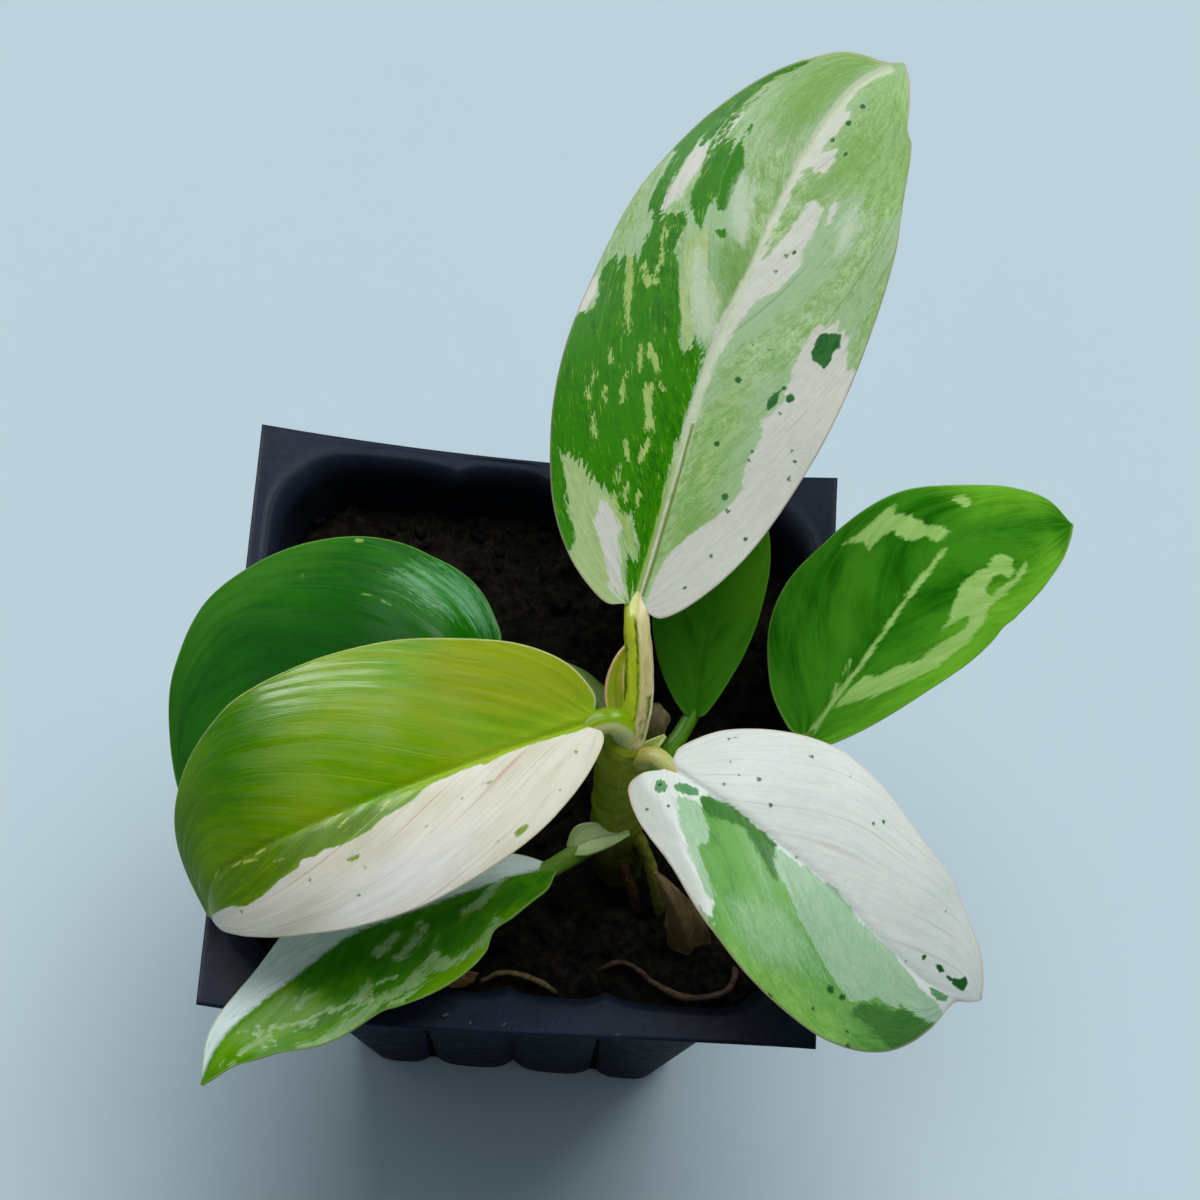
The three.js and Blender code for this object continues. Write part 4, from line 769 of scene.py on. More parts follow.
        rib=((64, 124, 20), 0.3, 0.6), rim=((96, 146, 50), 0.5, 0.3), under=(84, 130, 56), gloss=0.0,
        zones=dict(
        bright=fill((72, 130, 22), (62, 120, 18), soft=3.0, jag=1.0, amount=0.7, areas=[
            [(18, 4), (30, 3), (44, 1), (44, 10), (20, 14)]]))),
}

# Zones on petioles and stem. Their flat coordinates are (along, turn): the distance along and the way round
# from the top, in millimetres, to the right positive

STALK_LOOKS = {
    "leaf_back_large": dict(base=fill((190, 208, 46), (164, 186, 30), far=(178, 186, 56)), zones=dict(
        cream=fill((218, 212, 166), (200, 192, 134), soft=0.4, jag=0.3, areas=[
            [(-2, 0.5), (27, 0.3), (27, 4.5), (-2, 5)]]),
        brown=fill((178, 146, 96), (160, 128, 78), soft=0.7, jag=0.4, amount=0.5, streaks=[
            (0.9, [(1, 1.5), (8, 1.8), (14, 1.5)]), (0.6, [(11, 2.8), (18, 2.6)])]),
        green=fill((80, 106, 14), (96, 124, 24), soft=0.25, jag=0.3, streaks=[
            (0.6, [(2, 2.2), (9, 2.4)]), (0.7, [(8, -2.2), (18, -2.4)]),
            (0.6, [(-1, 0.3), (9, 0.2), (20, 0)]), (0.4, [(3, 1.2), (12, 1.3)])]))),
    "leaf_left_arching": dict(base=fill((128, 162, 6), (106, 142, 4)), zones=dict(
        cream=fill((190, 198, 138), (170, 184, 108), soft=0.6, jag=0.3, areas=[
            [(-2, -6), (-2, -0.4), (10, -0.4), (10, -6)]]))),
    "leaf_front_right": dict(base=fill((190, 194, 132), (160, 170, 90), far=(158, 138, 56)), zones=dict(
        green=fill((118, 144, 30), (134, 156, 50), soft=0.5, jag=0.4, areas=[
            [(-1, -1), (4, -0.6), (5, 3.5), (-1, 4)]]))),
    "leaf_right_green": dict(base=fill((70, 116, 10), (54, 96, 4), far=(86, 128, 24))),
    "leaf_left_low": dict(base=fill((104, 134, 52), (84, 114, 36), far=(124, 146, 80))),
    "leaf_front_left_folded": dict(base=fill((96, 138, 30), (74, 116, 18), far=(124, 158, 70))),
    "leaf_back_small": dict(base=fill((96, 156, 22), (74, 130, 12)), zones=dict(
        cream=fill((186, 194, 140), (160, 174, 108), soft=0.5, jag=0.4, areas=[
            [(-1, -4), (6, -4), (6, -0.8), (-1, -0.8)]]))),
}
SHEATH_LOOKS = {
    "leaf_back_large": dict(base=fill((142, 162, 24), (122, 146, 14), far=(156, 158, 60)),
                            rim=((214, 172, 136), 0.9, 0.45), fine=0.9, coarse=4.0, relief=0.06),
    "leaf_front_right": dict(base=fill((150, 172, 84), (134, 158, 60)),
                             rim=((206, 210, 168), 0.4, 0.3), fine=0.8, coarse=4.0, relief=0.06),
    "leaf_front_left_folded": dict(base=fill((230, 242, 194), (206, 228, 162), far=(170, 204, 124),
                                             vein=(0.35, (96, 136, 60))),
                                   rim=((186, 200, 150), 0.35, 0.35), fine=1.0, coarse=4.0, relief=0.06),
}


# Building the leaves

def blade_grid(leaf, rows, columns, tip):
    """Path of the rib and the flat coordinates over a blade. At each place also its share of the way out, its
    distance from the margin and the blade's width there."""
    path = Path(leaf["rib"], leaf.get("ease", 0.0))
    t = np.linspace(0, 1, rows + 1) ** 0.92
    left, right = (spline(leaf[side] + [(path.length, tip)], t) for side in ("left", "right"))
    v = np.linspace(-1, 1, 2 * columns + 1)
    middle = np.stack([path.length * t, 0 * t], -1)[:, None]
    edge = np.where(v[None, :, None] < 0, left[:, None] * (1, -1), right[:, None])
    flat = middle + (edge - middle) * np.abs(v)[None, :, None]
    width = np.maximum(np.abs(edge[..., 1]), 0.01)
    share = np.abs(v)[None, :] + 0 * width
    return path, flat, share, (1 - share) * width, width


def blade_mesh(leaf, rows, columns, tip=0.25, thick=(0.55, 0.3), groove=0.35, seed=0):
    """Closed blade: upper face, underside and the strip round its rim. Returns also its layers, the flat
    places and the veins of its vertices, and the path of its rib."""
    path, flat, share, margin, width = blade_grid(leaf, rows, columns, tip)
    along, out = flat[..., 0], flat[..., 1]
    point, normal = bend(path, leaf, along, out)
    vein, direction = vein_field(leaf, along, out, share, width)
    # A wave along the edge, a finer uneven one, a pleat at each vein and a groove over the rib
    wave, spacing, phase = leaf.get("wave", (0, 20, 0))
    lift = wave * share ** 3 * np.sin(2 * np.pi * along / spacing + phase + np.where(out < 0, 1.3, 0))
    lift = lift + 0.25 * wave * layered(along / 9, out / 9 + 20, 40 + seed, 2) * share
    pleat = np.cos(2 * np.pi * vein / 4.2 + 2.5 * noise(vein / 9, along / 40, 90 + seed))
    pleat = pleat * np.clip(np.abs(out) / 4, 0, 1)
    lift = lift + leaf.get("pleat", 0.02) * pleat * (1 - share ** 6)
    dip = groove * hump(out, 0, 0.75) * (1 - np.clip(along / path.length, 0, 1)) ** 0.6
    half = lerp(*thick, share ** 2) / 2
    top = point + normal * (lift + half - dip)[..., None]
    bottom = point + normal * (lift - half)[..., None]
    shape = share.shape
    count = share.size
    ring = border(*shape)
    after = np.roll(ring, -1)
    rim = np.stack([after, ring, ring + count, after + count], -1).tolist()
    faces = grid_faces(*shape) + grid_faces(*shape, start=count, flip=True) + rim
    layers = dict(flat=np.tile(np.stack([vein, along, out], -1).reshape(-1, 3), (2, 1)),
                  rim=np.tile(margin.ravel(), 2), under=np.repeat([0.0, 1.0], count))
    veins = np.tile(vein.ravel(), 2), np.tile(direction.reshape(-1, 2), (2, 1))
    verts = np.vstack([top.reshape(-1, 3), bottom.reshape(-1, 3)])
    return verts, faces, layers, np.tile(flat.reshape(-1, 2), (2, 1)), veins, path


def rod_mesh(points, radii, sides, steps, shape, look, prefix="zone_"):
    """Closed tube along a curve with its layers. Its radius is given at each point, and the shape function
    changes it by the distance along, the way round and the tube's length."""
    path = Path(points)
    t = np.linspace(0, 1, steps + 1)
    centre = spline(points, t)
    radius = spline(np.asarray(radii, float)[:, None], t)[:, 0]
    s = np.interp(t, np.linspace(0, 1, len(path.arc)), path.arc)
    _, along, side, up = path.frame(s)
    turn = np.linspace(-np.pi, np.pi, sides, endpoint=False)
    grid_s, grid_turn = np.meshgrid(s, turn, indexing="ij")
    reach = radius[:, None] * shape(grid_s, grid_turn, path.length)
    verts = (centre[:, None] + side[:, None] * (reach * np.sin(turn))[..., None]
             + up[:, None] * (reach * np.cos(turn))[..., None]).reshape(-1, 3)
    flat = np.stack([grid_s, grid_turn * radius[:, None], np.full_like(grid_s, NO_RIM)], -1).reshape(-1, 3)
    ends = centre[:1] - along[:1] * radius[0] * 0.35, centre[-1:] + along[-1:] * radius[-1] * 0.35
    verts, flat = np.vstack([verts, *ends]), np.vstack([flat, flat[:1], flat[-1:]])
    count = len(verts)
    faces = (grid_faces(steps + 1, sides, closed=True) + cap_faces(0, sides, count - 2)
             + cap_faces(steps * sides, sides, count - 1, flip=True))
    layers = dict(flat=flat, rim=np.full(count, NO_RIM), under=np.zeros(count))
    return verts, faces, layers | zone_layers(look, flat[:, :2], prefix=prefix)


def stalk_points(leaf, path):
    """Petiole points and radii, going on as the rib under the blade."""
    points = list(leaf["petiole"])
    start = len(points)
    radii = [lerp(*leaf["thick"], k / start) for k in range(start)]
    for share in (0.03, 0.12, 0.22, 0.33, 0.45, 0.58, 0.71, 0.84, 0.93):
        place, _, _, up = (a[0] for a in path.frame([share * path.length]))
        radius = leaf["thick"][1] * (1 - share) ** 1.2 + 0.12
        points.append(tuple(place + up * (0.05 - radius)))
        radii.append(radius)
    return points, radii


def grooved(s, turn, length):
    """Petiole section, a little flat and grooved on top, with faint ridges along it."""
    ridges = 0.02 * np.cos(6 * turn) + 0.015 * np.sin(s * 1.9 + 2 * np.sin(turn))
    return 1 - 0.13 * hump(turn, 0, 0.75) + ridges


def join(parts):
    """One mesh from parts given as vertices, faces, layers and material number. Where a part lacks a layer of
    another one, its vertices lie far outside it."""
    keys = sorted({key for _, _, layers, _ in parts for key in layers})
    merged = {key: np.concatenate([layers.get(key, np.full(len(verts), FAR_OUT))
                                   for verts, _, layers, _ in parts]) for key in keys}
    faces, kinds, start = [], [], 0
    for verts, part_faces, _, kind in parts:
        faces += [[i + start for i in face] for face in part_faces]
        kinds += [kind] * len(part_faces)
        start += len(verts)
    return np.vstack([verts for verts, *_ in parts]), faces, merged, kinds


def build_leaf(name, leaf, number):
    verts, faces, layers, places, veins, path = blade_mesh(leaf, leaf["rows"], leaf["columns"], seed=number)
    look = dict(rib_end=path.length) | LOOKS[name]
    parts = [(verts, faces, layers | zone_layers(look, places, veins), 0)]
    materials = [tissue(name + "_blade", look, 3.1 * number)]
    stalk = dict(STALK_LOOKS[name], fine=0.9, coarse=3.1, relief=0.08)
    points, radii = stalk_points(leaf, path)
    verts, faces, layers = rod_mesh(points, radii, sides=20, steps=90, shape=grooved, look=stalk,
                                    prefix="stalk_")
    layers["flat"] = layers["flat"][:, [1, 0, 2]]
    parts.append((verts, faces, layers, 1))
    materials.append(tissue(name + "_stalk", stalk, 1.7 * number, "stalk_"))
    for sheath in leaf.get("sheaths", ()):
        verts, faces, layers, *_ = blade_mesh(sheath, rows=36, columns=12, tip=0.35, thick=(0.6, 0.35),
                                              groove=0.0)
        parts.append((verts, faces, layers, 2))
        materials.append(tissue(name + "_sheath", SHEATH_LOOKS[name], 2.3 * number))
    verts, faces, layers, kinds = join(parts)
    slot = {"leaf_front_right": "leaf_cream", "leaf_back_large": "leaf_variegated",
            "leaf_left_arching": "leaf_variegated"}.get(name, "leaf_green")
    make(name + "_dressed", verts, faces, materials, slot, (name,), layers, kinds)


for number, (name, leaf) in enumerate(LEAVES.items()):
    build_leaf(name, leaf, number)


# Main stem, with a swelling and a scar ring where each old leaf left it

STEM_POINTS = [(14.4, -19, 84), (13.9, -17.4, 97), (12.6, -14.6, 110), (12, -12, 122), (12.1, -9.8, 132),
               (12.4, -9, 136)]
STEM_RADII = [3.6, 4.1, 4.2, 4.1, 3.8, 3.0]
NODES_AT = (20.0, 28.0, 35.5, 42.5, 49.0)
STEM_LOOK = dict(
    base=fill((134, 150, 32), (102, 122, 18), far=(150, 158, 60), vein=(0.25, (74, 90, 12)),
              fleck=(0.4, (74, 86, 16))),
    fine=1.2, coarse=4.4, relief=0.12, zones=dict(
        low=fill((62, 72, 14), (48, 56, 10), far=(76, 70, 28), soft=5.0, jag=1.5, amount=0.9, areas=[
            [(-5, -20), (-5, 20), (24, 20), (22, 4), (26, 0), (28, -20)]]),
        scars=fill((92, 92, 26), (118, 112, 46), soft=0.4, jag=0.4, amount=0.5, streaks=[
            (0.8, [(at + 1.9, -16), (at + 2.2, 0), (at + 1.7, 16)]) for at in NODES_AT])))


def jointed(s, turn, length):
    """Stem section, thicker at each node, with a ring cut above it."""
    swell = sum(0.05 * hump(s, at, 1.8) - 0.035 * hump(s, at + 1.9 + 0.5 * np.sin(turn + k), 0.45)
                for k, at in enumerate(NODES_AT))
    return 1 + swell + 0.02 * np.sin(3 * turn + s * 0.2) + 0.012 * noise(s * 1.3, turn * 3 + 9, 5)


def rod_piece(name, points, radii, sides, steps, material, slot, shape, look=None):
    verts, faces, layers = rod_mesh(points, radii, sides, steps, shape, look or {})
    make(name + "_dressed", verts, faces, [material], slot, (name,), layers)


rod_piece("main_stem", STEM_POINTS, STEM_RADII, sides=40, steps=170,
          material=tissue("stem_skin", STEM_LOOK, 0.0), slot="stem_green", shape=jointed, look=STEM_LOOK)


# Aerial roots, roots lying on the mix, and the dry stub of an old petiole

def knotty(amount, seed):
    """Root section with knots of this share of its radius."""
    return lambda s, turn, length: (1 + amount * layered(s * 0.45, turn * 0.7 + 7, seed, 3)
                                    + 0.5 * amount * np.sin(s * 2.3 + np.sin(turn * 2)))


def withered(s, turn, length):
    """Stub section, ribbed and hollow towards its end."""
    hollow = 0.35 * np.clip((s - length + 2.2) / 2.2, 0, 1) ** 2
    return 1 - hollow + 0.08 * np.sin(5 * turn + 0.6 * s) + 0.05 * layered(s * 0.6, turn * 1.4 + 5, 31, 3)


green_root = solid_paint("green_root", [(128, 130, 44), (96, 104, 30), (138, 122, 64)], 0.6, (0.4, 0.6))
brown_root = solid_paint("brown_root", [(78, 54, 31), (52, 36, 21), (98, 73, 45)], 0.8, (0.6, 0.85), 0.12)
tan_root = solid_paint("tan_root", [(118, 104, 66), (84, 72, 42), (56, 46, 28)], 0.8, (0.6, 0.85), 0.12)
dry_skin = solid_paint("dry_skin", [(122, 112, 66), (90, 80, 44), (62, 54, 30)], 0.5, (0.55, 0.8), 0.15,
                       (1.0, 0.3, 0.3))

# Each root: points, radii, sides and steps of its mesh, material, slot and how knotty it is
ROOTS = {
    "aerial_root_green": (
        [(13.4, -13.5, 113.5), (18, -18.6, 107), (20, -22.3, 102), (21.4, -25, 96), (21.8, -26, 91)],
        [1.3, 1.1, 1.05, 1.0, 1.0], 16, 70, green_root, "stem_green", 0.08),
    "aerial_root_brown": (
        [(12.6, -15, 108), (14.6, -20.2, 104.4), (16.6, -23.2, 100), (17.6, -24.8, 96), (18, -25.4, 92)],
        [1.1, 0.95, 0.9, 0.85, 0.8], 14, 60, brown_root, "root_brown", 0.1),
    "surface_root_right": (
        [(10.3, -37.7, 95.5), (12.2, -36.3, 98.8), (15.1, -35.2, 99.8), (18, -36.2, 99.7),
         (21.1, -38.3, 99.4), (25.5, -40, 99), (29.6, -40, 99.2), (32.9, -38.6, 99.4), (34.3, -36, 99),
         (34, -33.4, 97.8), (33.6, -31.6, 95.4)],
        [0.4, 0.45, 0.5, 0.5, 0.55, 0.65, 0.65, 0.6, 0.55, 0.5, 0.5], 12, 150, brown_root, "root_brown",
        0.16),
    "surface_root_left": (
        [(-8.2, -40.2, 95.6), (-7.2, -39.8, 98.8), (-4.6, -38.7, 100), (-1.3, -38.7, 100), (2.2, -39.6, 99.4),
         (4.4, -40.4, 97.8), (5.6, -40.7, 95.6)],
        [0.45, 0.5, 0.5, 0.55, 0.55, 0.5, 0.45], 12, 90, tan_root, "dry_tissue", 0.16),
}
for number, (name, (*mesh, material, slot, rough)) in enumerate(ROOTS.items()):
    rod_piece(name, *mesh, material, slot, knotty(rough, 60 + number))
rod_piece("dry_stub", [(13, -9, 110), (14.6, -3.2, 115.5), (17.4, 0.8, 123.5)], [2.6, 2.9, 3.0], sides=32,
          steps=60, material=dry_skin, slot="dry_tissue", shape=withered)

# Papery scale against the foot of the stem, folded and curled

CATAPHYLL = dict(
    rib=[(27, -34, 93), (26.2, -31.8, 99), (24.4, -28.6, 104.5), (21.6, -25.2, 109), (19.4, -22.8, 111.5)],
    left=[(0, 2.2), (5, 4), (11, 4), (17, 2.4)], right=[(0, 2.2), (5, 3.6), (11, 3.4), (17, 2)],
    fold=(25, 35), curl=(60, 60), wave=(0.35, 7, 0.5))
CATAPHYLL_LOOK = dict(
    base=fill((150, 124, 84), (112, 90, 58), far=(172, 148, 108), vein=(0.5, (84, 64, 40)),
              fleck=(0.5, (52, 34, 22))),
    rim=((122, 96, 70), 0.6, 0.4), fine=0.8, coarse=2.6, relief=0.12, roughness=(0, 0.65, 1, 0.65))
verts, faces, layers, *_ = blade_mesh(CATAPHYLL, rows=80, columns=24, tip=0.5, thick=(0.5, 0.3), groove=0.105,
                                      seed=9)
make("dry_cataphyll_dressed", verts, faces, [tissue("papery_scale", CATAPHYLL_LOOK, 4.0)], "dry_tissue",
     ("dry_cataphyll",), layers)

# Pot: upright flutes along each side, a notch at each corner, and a flat flange with a rounded mouth. A pair
# of values is for bottom and top, or for x and y

POT_HEIGHT = 110.0
FLANGE_UNDER = 109.1
RIM_HALF = (50.0, 51.0)
RIM_LEAN = (-3.0, 1.0)
RIM_TWIST = -1.2
WALL = 0.9
FLOOR = 1.0
MOUTH_HALF = 46.3
BASE_HALF = 31.0
FLUTES_AT = (-15.6, 0.0, 15.6)
FLUTE_DEPTH = (2.1, 1.5)
CORNER_NOTCH = (3.2, 4.2)
EDGE_BOW = (-2.2, 1.2)  # at the back and at the front
FLUTE_STEPS = 13
DRAIN_RADIUS = 3.5
DRAIN_AT = 20.0


def wall_half(z):
    """Half the width of the pot at this height."""
    return lerp(BASE_HALF, MOUTH_HALF, z / POT_HEIGHT)


def outline(z, half):
    """Outline round the pot, anticlockwise, before the pot's lean and twist."""
    share = np.clip(z / POT_HEIGHT, 0, 1)
    depth, notch = lerp(*FLUTE_DEPTH, share), lerp(*CORNER_NOTCH, share)
    ends = [-(half - notch), *FLUTES_AT, half - notch]
    x = np.sin(np.linspace(-np.pi / 2, np.pi / 2, FLUTE_STEPS + 1)[:-1])
    side = []
    for n in range(4):
        corner = ((n == 0) & (x < 0)) | ((n == 3) & (x > 0))
        dip = np.where(corner, notch, depth) * np.abs(x) ** 4
        side.append(np.stack([half - dip, lerp(ends[n], ends[n + 1], (x + 1) / 2)], -1))
    x, y = np.vstack(side).T
    turns = [(1, 0), (0, 1), (-1, 0), (0, -1)]
    ring = np.vstack([np.stack([c * x - s * y, s * x + c * y], -1) for c, s in turns])
    return np.column_stack([ring, np.full(len(ring), float(z))])


def flange_edge(z, inward=0.0):
    """Outer edge of the flange, bowed a little at the back and at the front."""
    ring = outline(z, MOUTH_HALF)
    u, v = (ring[:, :2] / np.max(np.abs(ring[:, :2]), 1)[:, None]).T
    bow = np.where(v > 0.999, EDGE_BOW[0] * (1 - u * u), 0.0)
    bow = np.where(v < -0.999, -EDGE_BOW[1] * (1 - u * u) * (1 - u), bow)
    return np.column_stack([u * (RIM_HALF[0] - inward), v * (RIM_HALF[1] - inward) + bow, ring[:, 2]])


def settle(p):
    """Lean and twist of the thin pot."""
    share = p[:, 2] / POT_HEIGHT
    twist = RIM_TWIST * share ** 2 * p[:, 0] * p[:, 1] / (RIM_HALF[0] * RIM_HALF[1])
    return p + np.stack([RIM_LEAN[0] * share, RIM_LEAN[1] * share, twist], -1)


def pot_rings():
    """Rings of the pot from its underside, up the outside, over the flange and down the inside, with dust and
    painted reflection.
    """
    rings = [(outline(0, BASE_HALF - 1.2), 0), (outline(0.15, BASE_HALF - 0.5), 0),
             (outline(0.7, wall_half(0.7) - 0.15), 0)]
    rings += [(outline(z, wall_half(z)), 0) for z in (1.4, 12, 24, 36, 48, 60, 72, 84, 96, 104, 107.6)]
    rings += [(outline(FLANGE_UNDER - 0.5, wall_half(FLANGE_UNDER) + 0.15), 0),
              (outline(FLANGE_UNDER, wall_half(FLANGE_UNDER) + 0.7), 0)]
    inner, edge = outline(FLANGE_UNDER, MOUTH_HALF + 0.7), flange_edge(FLANGE_UNDER, 0.25)
    rings += [(lerp(inner, edge, f), 0) for f in (0.5, 1.0)]
    rings += [(flange_edge(109.3), 0.3), (flange_edge(109.75), 0.6), (flange_edge(109.95, 0.2), 1.0)]
    edge, inner = flange_edge(POT_HEIGHT, 0.6), outline(109.85, MOUTH_HALF + 1.9)
    rings += [(lerp(edge, inner, f), 1.0) for f in (0.0, 0.3, 0.6, 0.85, 1.0)]
    rings += [(outline(109.97, MOUTH_HALF + 1.3), 0.8), (outline(110.02, MOUTH_HALF + 0.85), 0.7),
              (outline(109.8, MOUTH_HALF + 0.35), 0.5), (outline(109.2, MOUTH_HALF - 0.2), 0.3),
              (outline(108.2, wall_half(108.2) - WALL + 0.1), 0.2)]
    return rings + [(outline(z, wall_half(z) - WALL), 0) for z in (106, 100, 94, 80, 60, 40, 20, FLOOR)]


def pot_plastic():
    """Thin black plastic, a little bluish, with fine scuffs, and dust and a painted bluish sky reflection on
    the flange.
    """
    paint = Paint("thin_black_plastic", specular=0.012)
    place = paint.position()
    tone = paint.noise(place, 0.09, 5.0, 0.65)
    colour = paint.mix(paint.ramp(tone, 0.35, 0.65), (18, 24, 33), (25, 32, 45))
    grit = paint.noise(place, 0.9, 4.0, 0.7)
    # Dust, and a painted bluish reflection of the sky on the flange and into the mouth
    dust_and_reflection = paint.times(paint.layer("dust_and_reflection"), paint.ramp(grit, 0.3, 0.8, 0.25, 0.8))
    colour = paint.mix(dust_and_reflection, colour, (34, 46, 70))
    specks = paint.ramp(paint.noise(place, 2.4, 3.0, 0.75), 0.68, 0.76, 0.0, 0.5)
    colour = paint.mix(specks, colour, (82, 84, 80))
    scuffs = paint.noise(paint.stretched(place, (0.35, 2.4, 0.5)), 1.0, 5.0, 0.7)
    height = paint.math("MULTIPLY_ADD", grit, 0.5, paint.times(scuffs, 0.5))
    return paint.finish(colour, height, 0.06, 0.5, paint.ramp(scuffs, 0.3, 0.7, 0.34, 0.58, smooth=False))


def build_pot():
    rings = pot_rings()
    sides = len(rings[0][0])
    walls = len(rings) * sides
    verts = settle(np.vstack([ring for ring, _ in rings] + [[[0, 0, 0.0], [0, 0, FLOOR]]]))
    faces = (grid_faces(len(rings), sides, closed=True) + cap_faces(0, sides, walls)
             + cap_faces(walls - sides, sides, walls + 1, flip=True))
    dust_and_reflection = np.append(np.repeat([float(dust_and_reflection) for _, dust_and_reflection in rings], sides), [0.0, 0.0])
    pot = make("pot_dressed", verts, faces, [pot_plastic()], "pot_plastic", ("pot",), dict(dust_and_reflection=dust_and_reflection))
    cutters = []
    for x, y in [(x, y) for x in (-1, 0, 1) for y in (-1, 0, 1) if x or y]:
        bpy.ops.mesh.primitive_cylinder_add(vertices=28, radius=DRAIN_RADIUS * MM, depth=4 * FLOOR * MM,
                                            location=(x * DRAIN_AT * MM, y * DRAIN_AT * MM, 0))
        cutters.append(bpy.context.object)
    for cutter in cutters:
        hole = pot.modifiers.new("drain", "BOOLEAN")
        hole.object, hole.operation, hole.solver = cutter, "DIFFERENCE", "EXACT"
    cut = bpy.data.meshes.new_from_object(pot.evaluated_get(bpy.context.evaluated_depsgraph_get()))
    pot.modifiers.clear()
    pot.data = cut
    for cutter in cutters:
        bpy.data.objects.remove(cutter)


build_pot()

# Potting mix: the same lumpy top as the solid, crumbled, with loose crumbs on it

SOIL_TOP = 97.6
SOIL_RIM = 98.0  # where its top meets the wall
SOIL_BOTTOM = 1.3
SOIL_GAP = 0.45  # to the wall
SOIL_CELLS = 150
CRUMBS = 420
CRUMB_REACH = 41  # of the middle of a crumb from the middle of the mix
MIX_MIDDLE = (-2.7, 0.9)
LUMP_ROUGH = 0.3


def soil_height(x, y):
    """Top of the mix: the solid's own waves and finer lumps."""
    rough = (np.sin(0.41 * x + 1.3) * np.cos(0.37 * y - 0.6) + 0.6 * np.sin(0.83 * x - 0.52 * y)
             + 0.5 * np.cos(0.95 * y + 0.31 * x + 2.1))
    lumps = 0.9 * layered(x / 6.5, y / 6.5, 71, 3) + 0.55 * np.abs(layered(x / 2.3 + 5, y / 2.3, 81, 3))
    return SOIL_TOP + 0.54 * rough + lumps


def build_soil(material):
    g = np.linspace(-1, 1, SOIL_CELLS)
    u, v = (a.ravel() for a in np.meshgrid(g, g, indexing="ij"))
    m = np.maximum(np.maximum(np.abs(u), np.abs(v)), 1e-6)
    half, low_half = (wall_half(z) - WALL - SOIL_GAP for z in (SOIL_RIM, SOIL_BOTTOM))
    x, y, _ = outline(SOIL_RIM, half).T
    angle = np.arctan2(y, x)
    order = np.argsort(angle)
    reach = np.interp(np.arctan2(v, u), angle[order], np.hypot(x, y)[order], period=2 * np.pi)
    flat = np.stack([u, v], -1) / np.hypot(u, v)[:, None].clip(1e-6) * (reach * m)[:, None]
    x, y = (flat + np.array(RIM_LEAN) * SOIL_RIM / POT_HEIGHT).T
    # The top sinks a little along the wall
    top = np.stack([x, y, soil_height(x, y) - 1.1 * np.clip((m - 0.93) / 0.07, 0, 1)], -1)
    edge = border(SOIL_CELLS, SOIL_CELLS)
    count, sides = len(top), len(edge)
    lower = np.column_stack([flat[edge] * (low_half / half), np.full(sides, SOIL_BOTTOM)])
    after = np.roll(np.arange(sides), -1)
    walls = np.stack([edge, edge[after], count + after, count + np.arange(sides)], -1).tolist()
    verts = np.vstack([top, lower, [[0, 0, SOIL_BOTTOM]]])
    faces = (grid_faces(SOIL_CELLS, SOIL_CELLS, flip=True) + walls
             + cap_faces(count, sides, count + sides, flip=True))
    make("potting_mix_dressed", verts, faces, [material], "potting_mix", ("potting_mix",))


def mix_paint():
    """Dark crumbs with faint moss and a few pale bits."""
    paint = Paint("potting_mix_crumb", specular=0.0)
    place = paint.position()
    crumb = paint.noise(place, 0.55, 6.0, 0.72)
    colour = paint.mix(paint.ramp(crumb, 0.38, 0.66), (17, 16, 15), (38, 34, 30))
    moss = paint.ramp(paint.noise(place, 0.12, 4.0, 0.7), 0.5, 0.64, 0.0, 0.6)
    colour = paint.mix(moss, colour, (23, 25, 15))
    bits = paint.ramp(paint.noise(place, 1.6), 0.7, 0.75, 0.0, 0.7)
    colour = paint.mix(bits, colour, (66, 58, 44))
    return paint.finish(colour, crumb, 0.5, 0.9, paint.ramp(crumb, 0.3, 0.7, 0.85, 1.0))


def lump(centre, size, turn, seed, detail=2):
    """Uneven pebble-like body."""
    ball = bmesh.new()
    bmesh.ops.create_icosphere(ball, subdivisions=detail, radius=1.0)
    p = np.array([v.co for v in ball.verts])
    faces = [[v.index for v in f.verts] for f in ball.faces]
    ball.free()
    p = p * (1 + LUMP_ROUGH * layered(p[:, 0] * 1.3 + 3 * p[:, 2], p[:, 1] * 1.3 + 10, seed, 2))[:, None]
    p = p * np.asarray(size) / 2
    c, s = np.cos(turn), np.sin(turn)
    return p @ np.array([[c, s, 0], [-s, c, 0], [0, 0, 1]]) + centre, faces


def scatter(lumps):
    """Vertices and faces of many lumps as one mesh."""
    return join([(verts, faces, {}, 0) for verts, faces in lumps])[:2]


def build_crumbs(material):
    rng = np.random.default_rng(23)
    lumps = []
    for k in range(CRUMBS):
        x, y = rng.uniform(-CRUMB_REACH, CRUMB_REACH, 2) + MIX_MIDDLE
        size = rng.gamma(2.2, 0.55) + 0.6
        spread = rng.uniform(0.6, 1.3, 3) * size
        centre = (x, y, soil_height(x, y) + 0.12 * size)
        lumps.append(lump(centre, spread, rng.uniform(0, np.pi), 200 + k % 40, detail=1))
    make("mix_crumbs", *scatter(lumps), [material], "potting_mix")


mix_skin = mix_paint()
build_soil(mix_skin)
build_crumbs(mix_skin)

# Bark chip on the mix, and crumbs and dry bits that fell on the flange

chip_skin = solid_paint("bark_chip_skin", [(160, 126, 78), (120, 92, 54), (90, 68, 40)], 0.9, (0.7, 0.9),
                        0.15, (0.5, 1.4, 1.4))
make("bark_chip_dressed", *lump((-10.8, -39.8, 98.95), (5.2, 2.5, 1.7), 0.4, 301, detail=3), [chip_skin],
     "dry_tissue", ("bark_chip",))

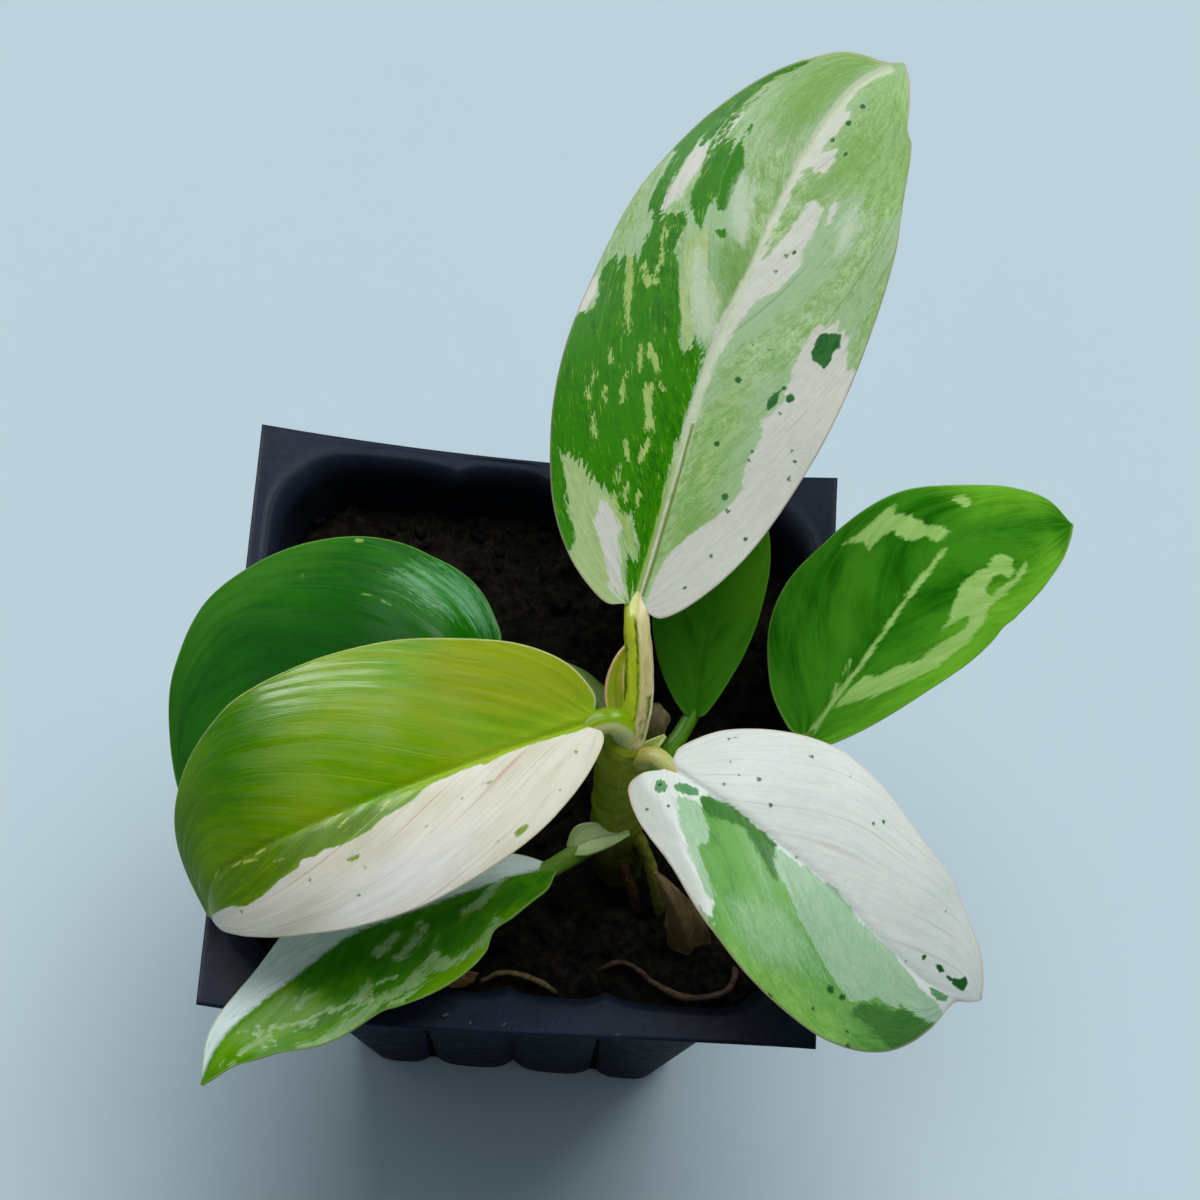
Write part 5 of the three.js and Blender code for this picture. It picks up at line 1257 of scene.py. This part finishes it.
# Place, length and turn of each bit
FLANGE_BITS = [(-12.9, -49.0, 1.5, 0.3), (-8.8, -50.0, 1.0, 1.2), (-3.4, -49.9, 1.3, 0.8),
               (10.2, -50.1, 1.0, 2.0), (15.1, -50.1, 1.6, 0.1), (-24.0, -48.6, 0.7, 0.5),
               (4.4, -49.0, 0.6, 1.5), (27.0, -49.4, 0.8, 0.9)]
bit_skin = solid_paint("flange_bit_skin", [(70, 76, 72), (52, 58, 54), (88, 90, 80)], 1.4, (0.8, 0.95))
bits = [lump((x, y, 110.05 + size * 0.12), (size * 0.8, size * 0.4, size * 0.3), turn, 320 + k)
        for k, (x, y, size, turn) in enumerate(FLANGE_BITS)]
make("flange_bits", *scatter(bits), [bit_skin], "dry_tissue")


# Floor, light and camera

def sun(name, towards, angle, strength, colour, gloss=True):
    """Distant light of an angle in degrees. It gives either the gloss on a surface or all but the gloss."""
    lamp = bpy.data.lights.new(name, "SUN")
    lamp.angle, lamp.energy, lamp.color = np.radians(angle), strength, colour
    obj = bpy.data.objects.new(name, lamp)
    obj.rotation_euler = Vector(towards).to_track_quat("Z", "Y").to_euler()
    obj.visible_diffuse, obj.visible_glossy = not gloss, gloss
    bpy.context.scene.collection.objects.link(obj)


def build_stage():
    bpy.ops.mesh.primitive_plane_add(size=12.0, location=(0, 0, 0))
    floor = bpy.context.object
    floor.name = "floor"
    paint = Paint("pale_floor", specular=0.0, roughness=0.75)
    tone = paint.noise(paint.position(), 0.012)
    paint.put(paint.shader.inputs["Base Color"], paint.mix(tone, (190, 211, 223), (193, 214, 226)))
    floor.data.materials.append(paint.material)
    sun("sky", (0.1, 0.42, 0.9), 46.0, 2.6, (1.0, 0.985, 0.955), gloss=False)
    sun("left_window", (-0.72, 0.36, 0.6), 24.0, 19.0, (0.96, 0.98, 1.0))
    sun("back_window", (-0.34, 0.42, 0.84), 26.0, 17.0, (0.96, 0.98, 1.0))
    sun("right_window", (0.55, 0.43, 0.72), 30.0, 16.0, (0.94, 0.98, 1.0))
    sun("roof", (-0.1, 0.02, 1.0), 13.0, 2.6, (0.92, 0.96, 1.0))
    world = bpy.data.worlds.new("soft_room")
    world.use_nodes = True
    nodes, links = world.node_tree.nodes, world.node_tree.links
    nodes["Background"].inputs["Color"].default_value = (0.86, 0.94, 1.0, 1.0)
    split, fall = nodes.new("ShaderNodeSeparateXYZ"), nodes.new("ShaderNodeMapRange")
    links.new(nodes.new("ShaderNodeTexCoord").outputs["Generated"], split.inputs[0])
    links.new(split.outputs["Y"], fall.inputs["Value"])
    for key, value in {"From Min": -0.8, "From Max": 0.2, "To Min": 0.1, "To Max": 0.32}.items():
        fall.inputs[key].default_value = value
    links.new(fall.outputs[0], nodes["Background"].inputs["Strength"])
    bpy.context.scene.world = world


def build_camera():
    camera = bpy.data.cameras.new("camera")
    camera.sensor_width = 36.0
    camera.lens = 94.82
    camera.clip_start = 0.01
    obj = bpy.data.objects.new("camera", camera)
    right = Vector((0.99628, 0.06533, 0.05618))
    up = Vector((-0.08156, 0.92531, 0.37035))
    view = Vector((0.02779, 0.37355, -0.92719))
    turn = Matrix((right, up, -view)).transposed().to_4x4()
    obj.matrix_world = Matrix.Translation(Vector((-7.67, -175.56, 607.72)) * MM) @ turn
    bpy.context.scene.collection.objects.link(obj)
    bpy.context.scene.camera = obj


build_stage()
build_camera()
bpy.context.scene.view_settings.view_transform = "Standard"

bpy.context.view_layer.update()
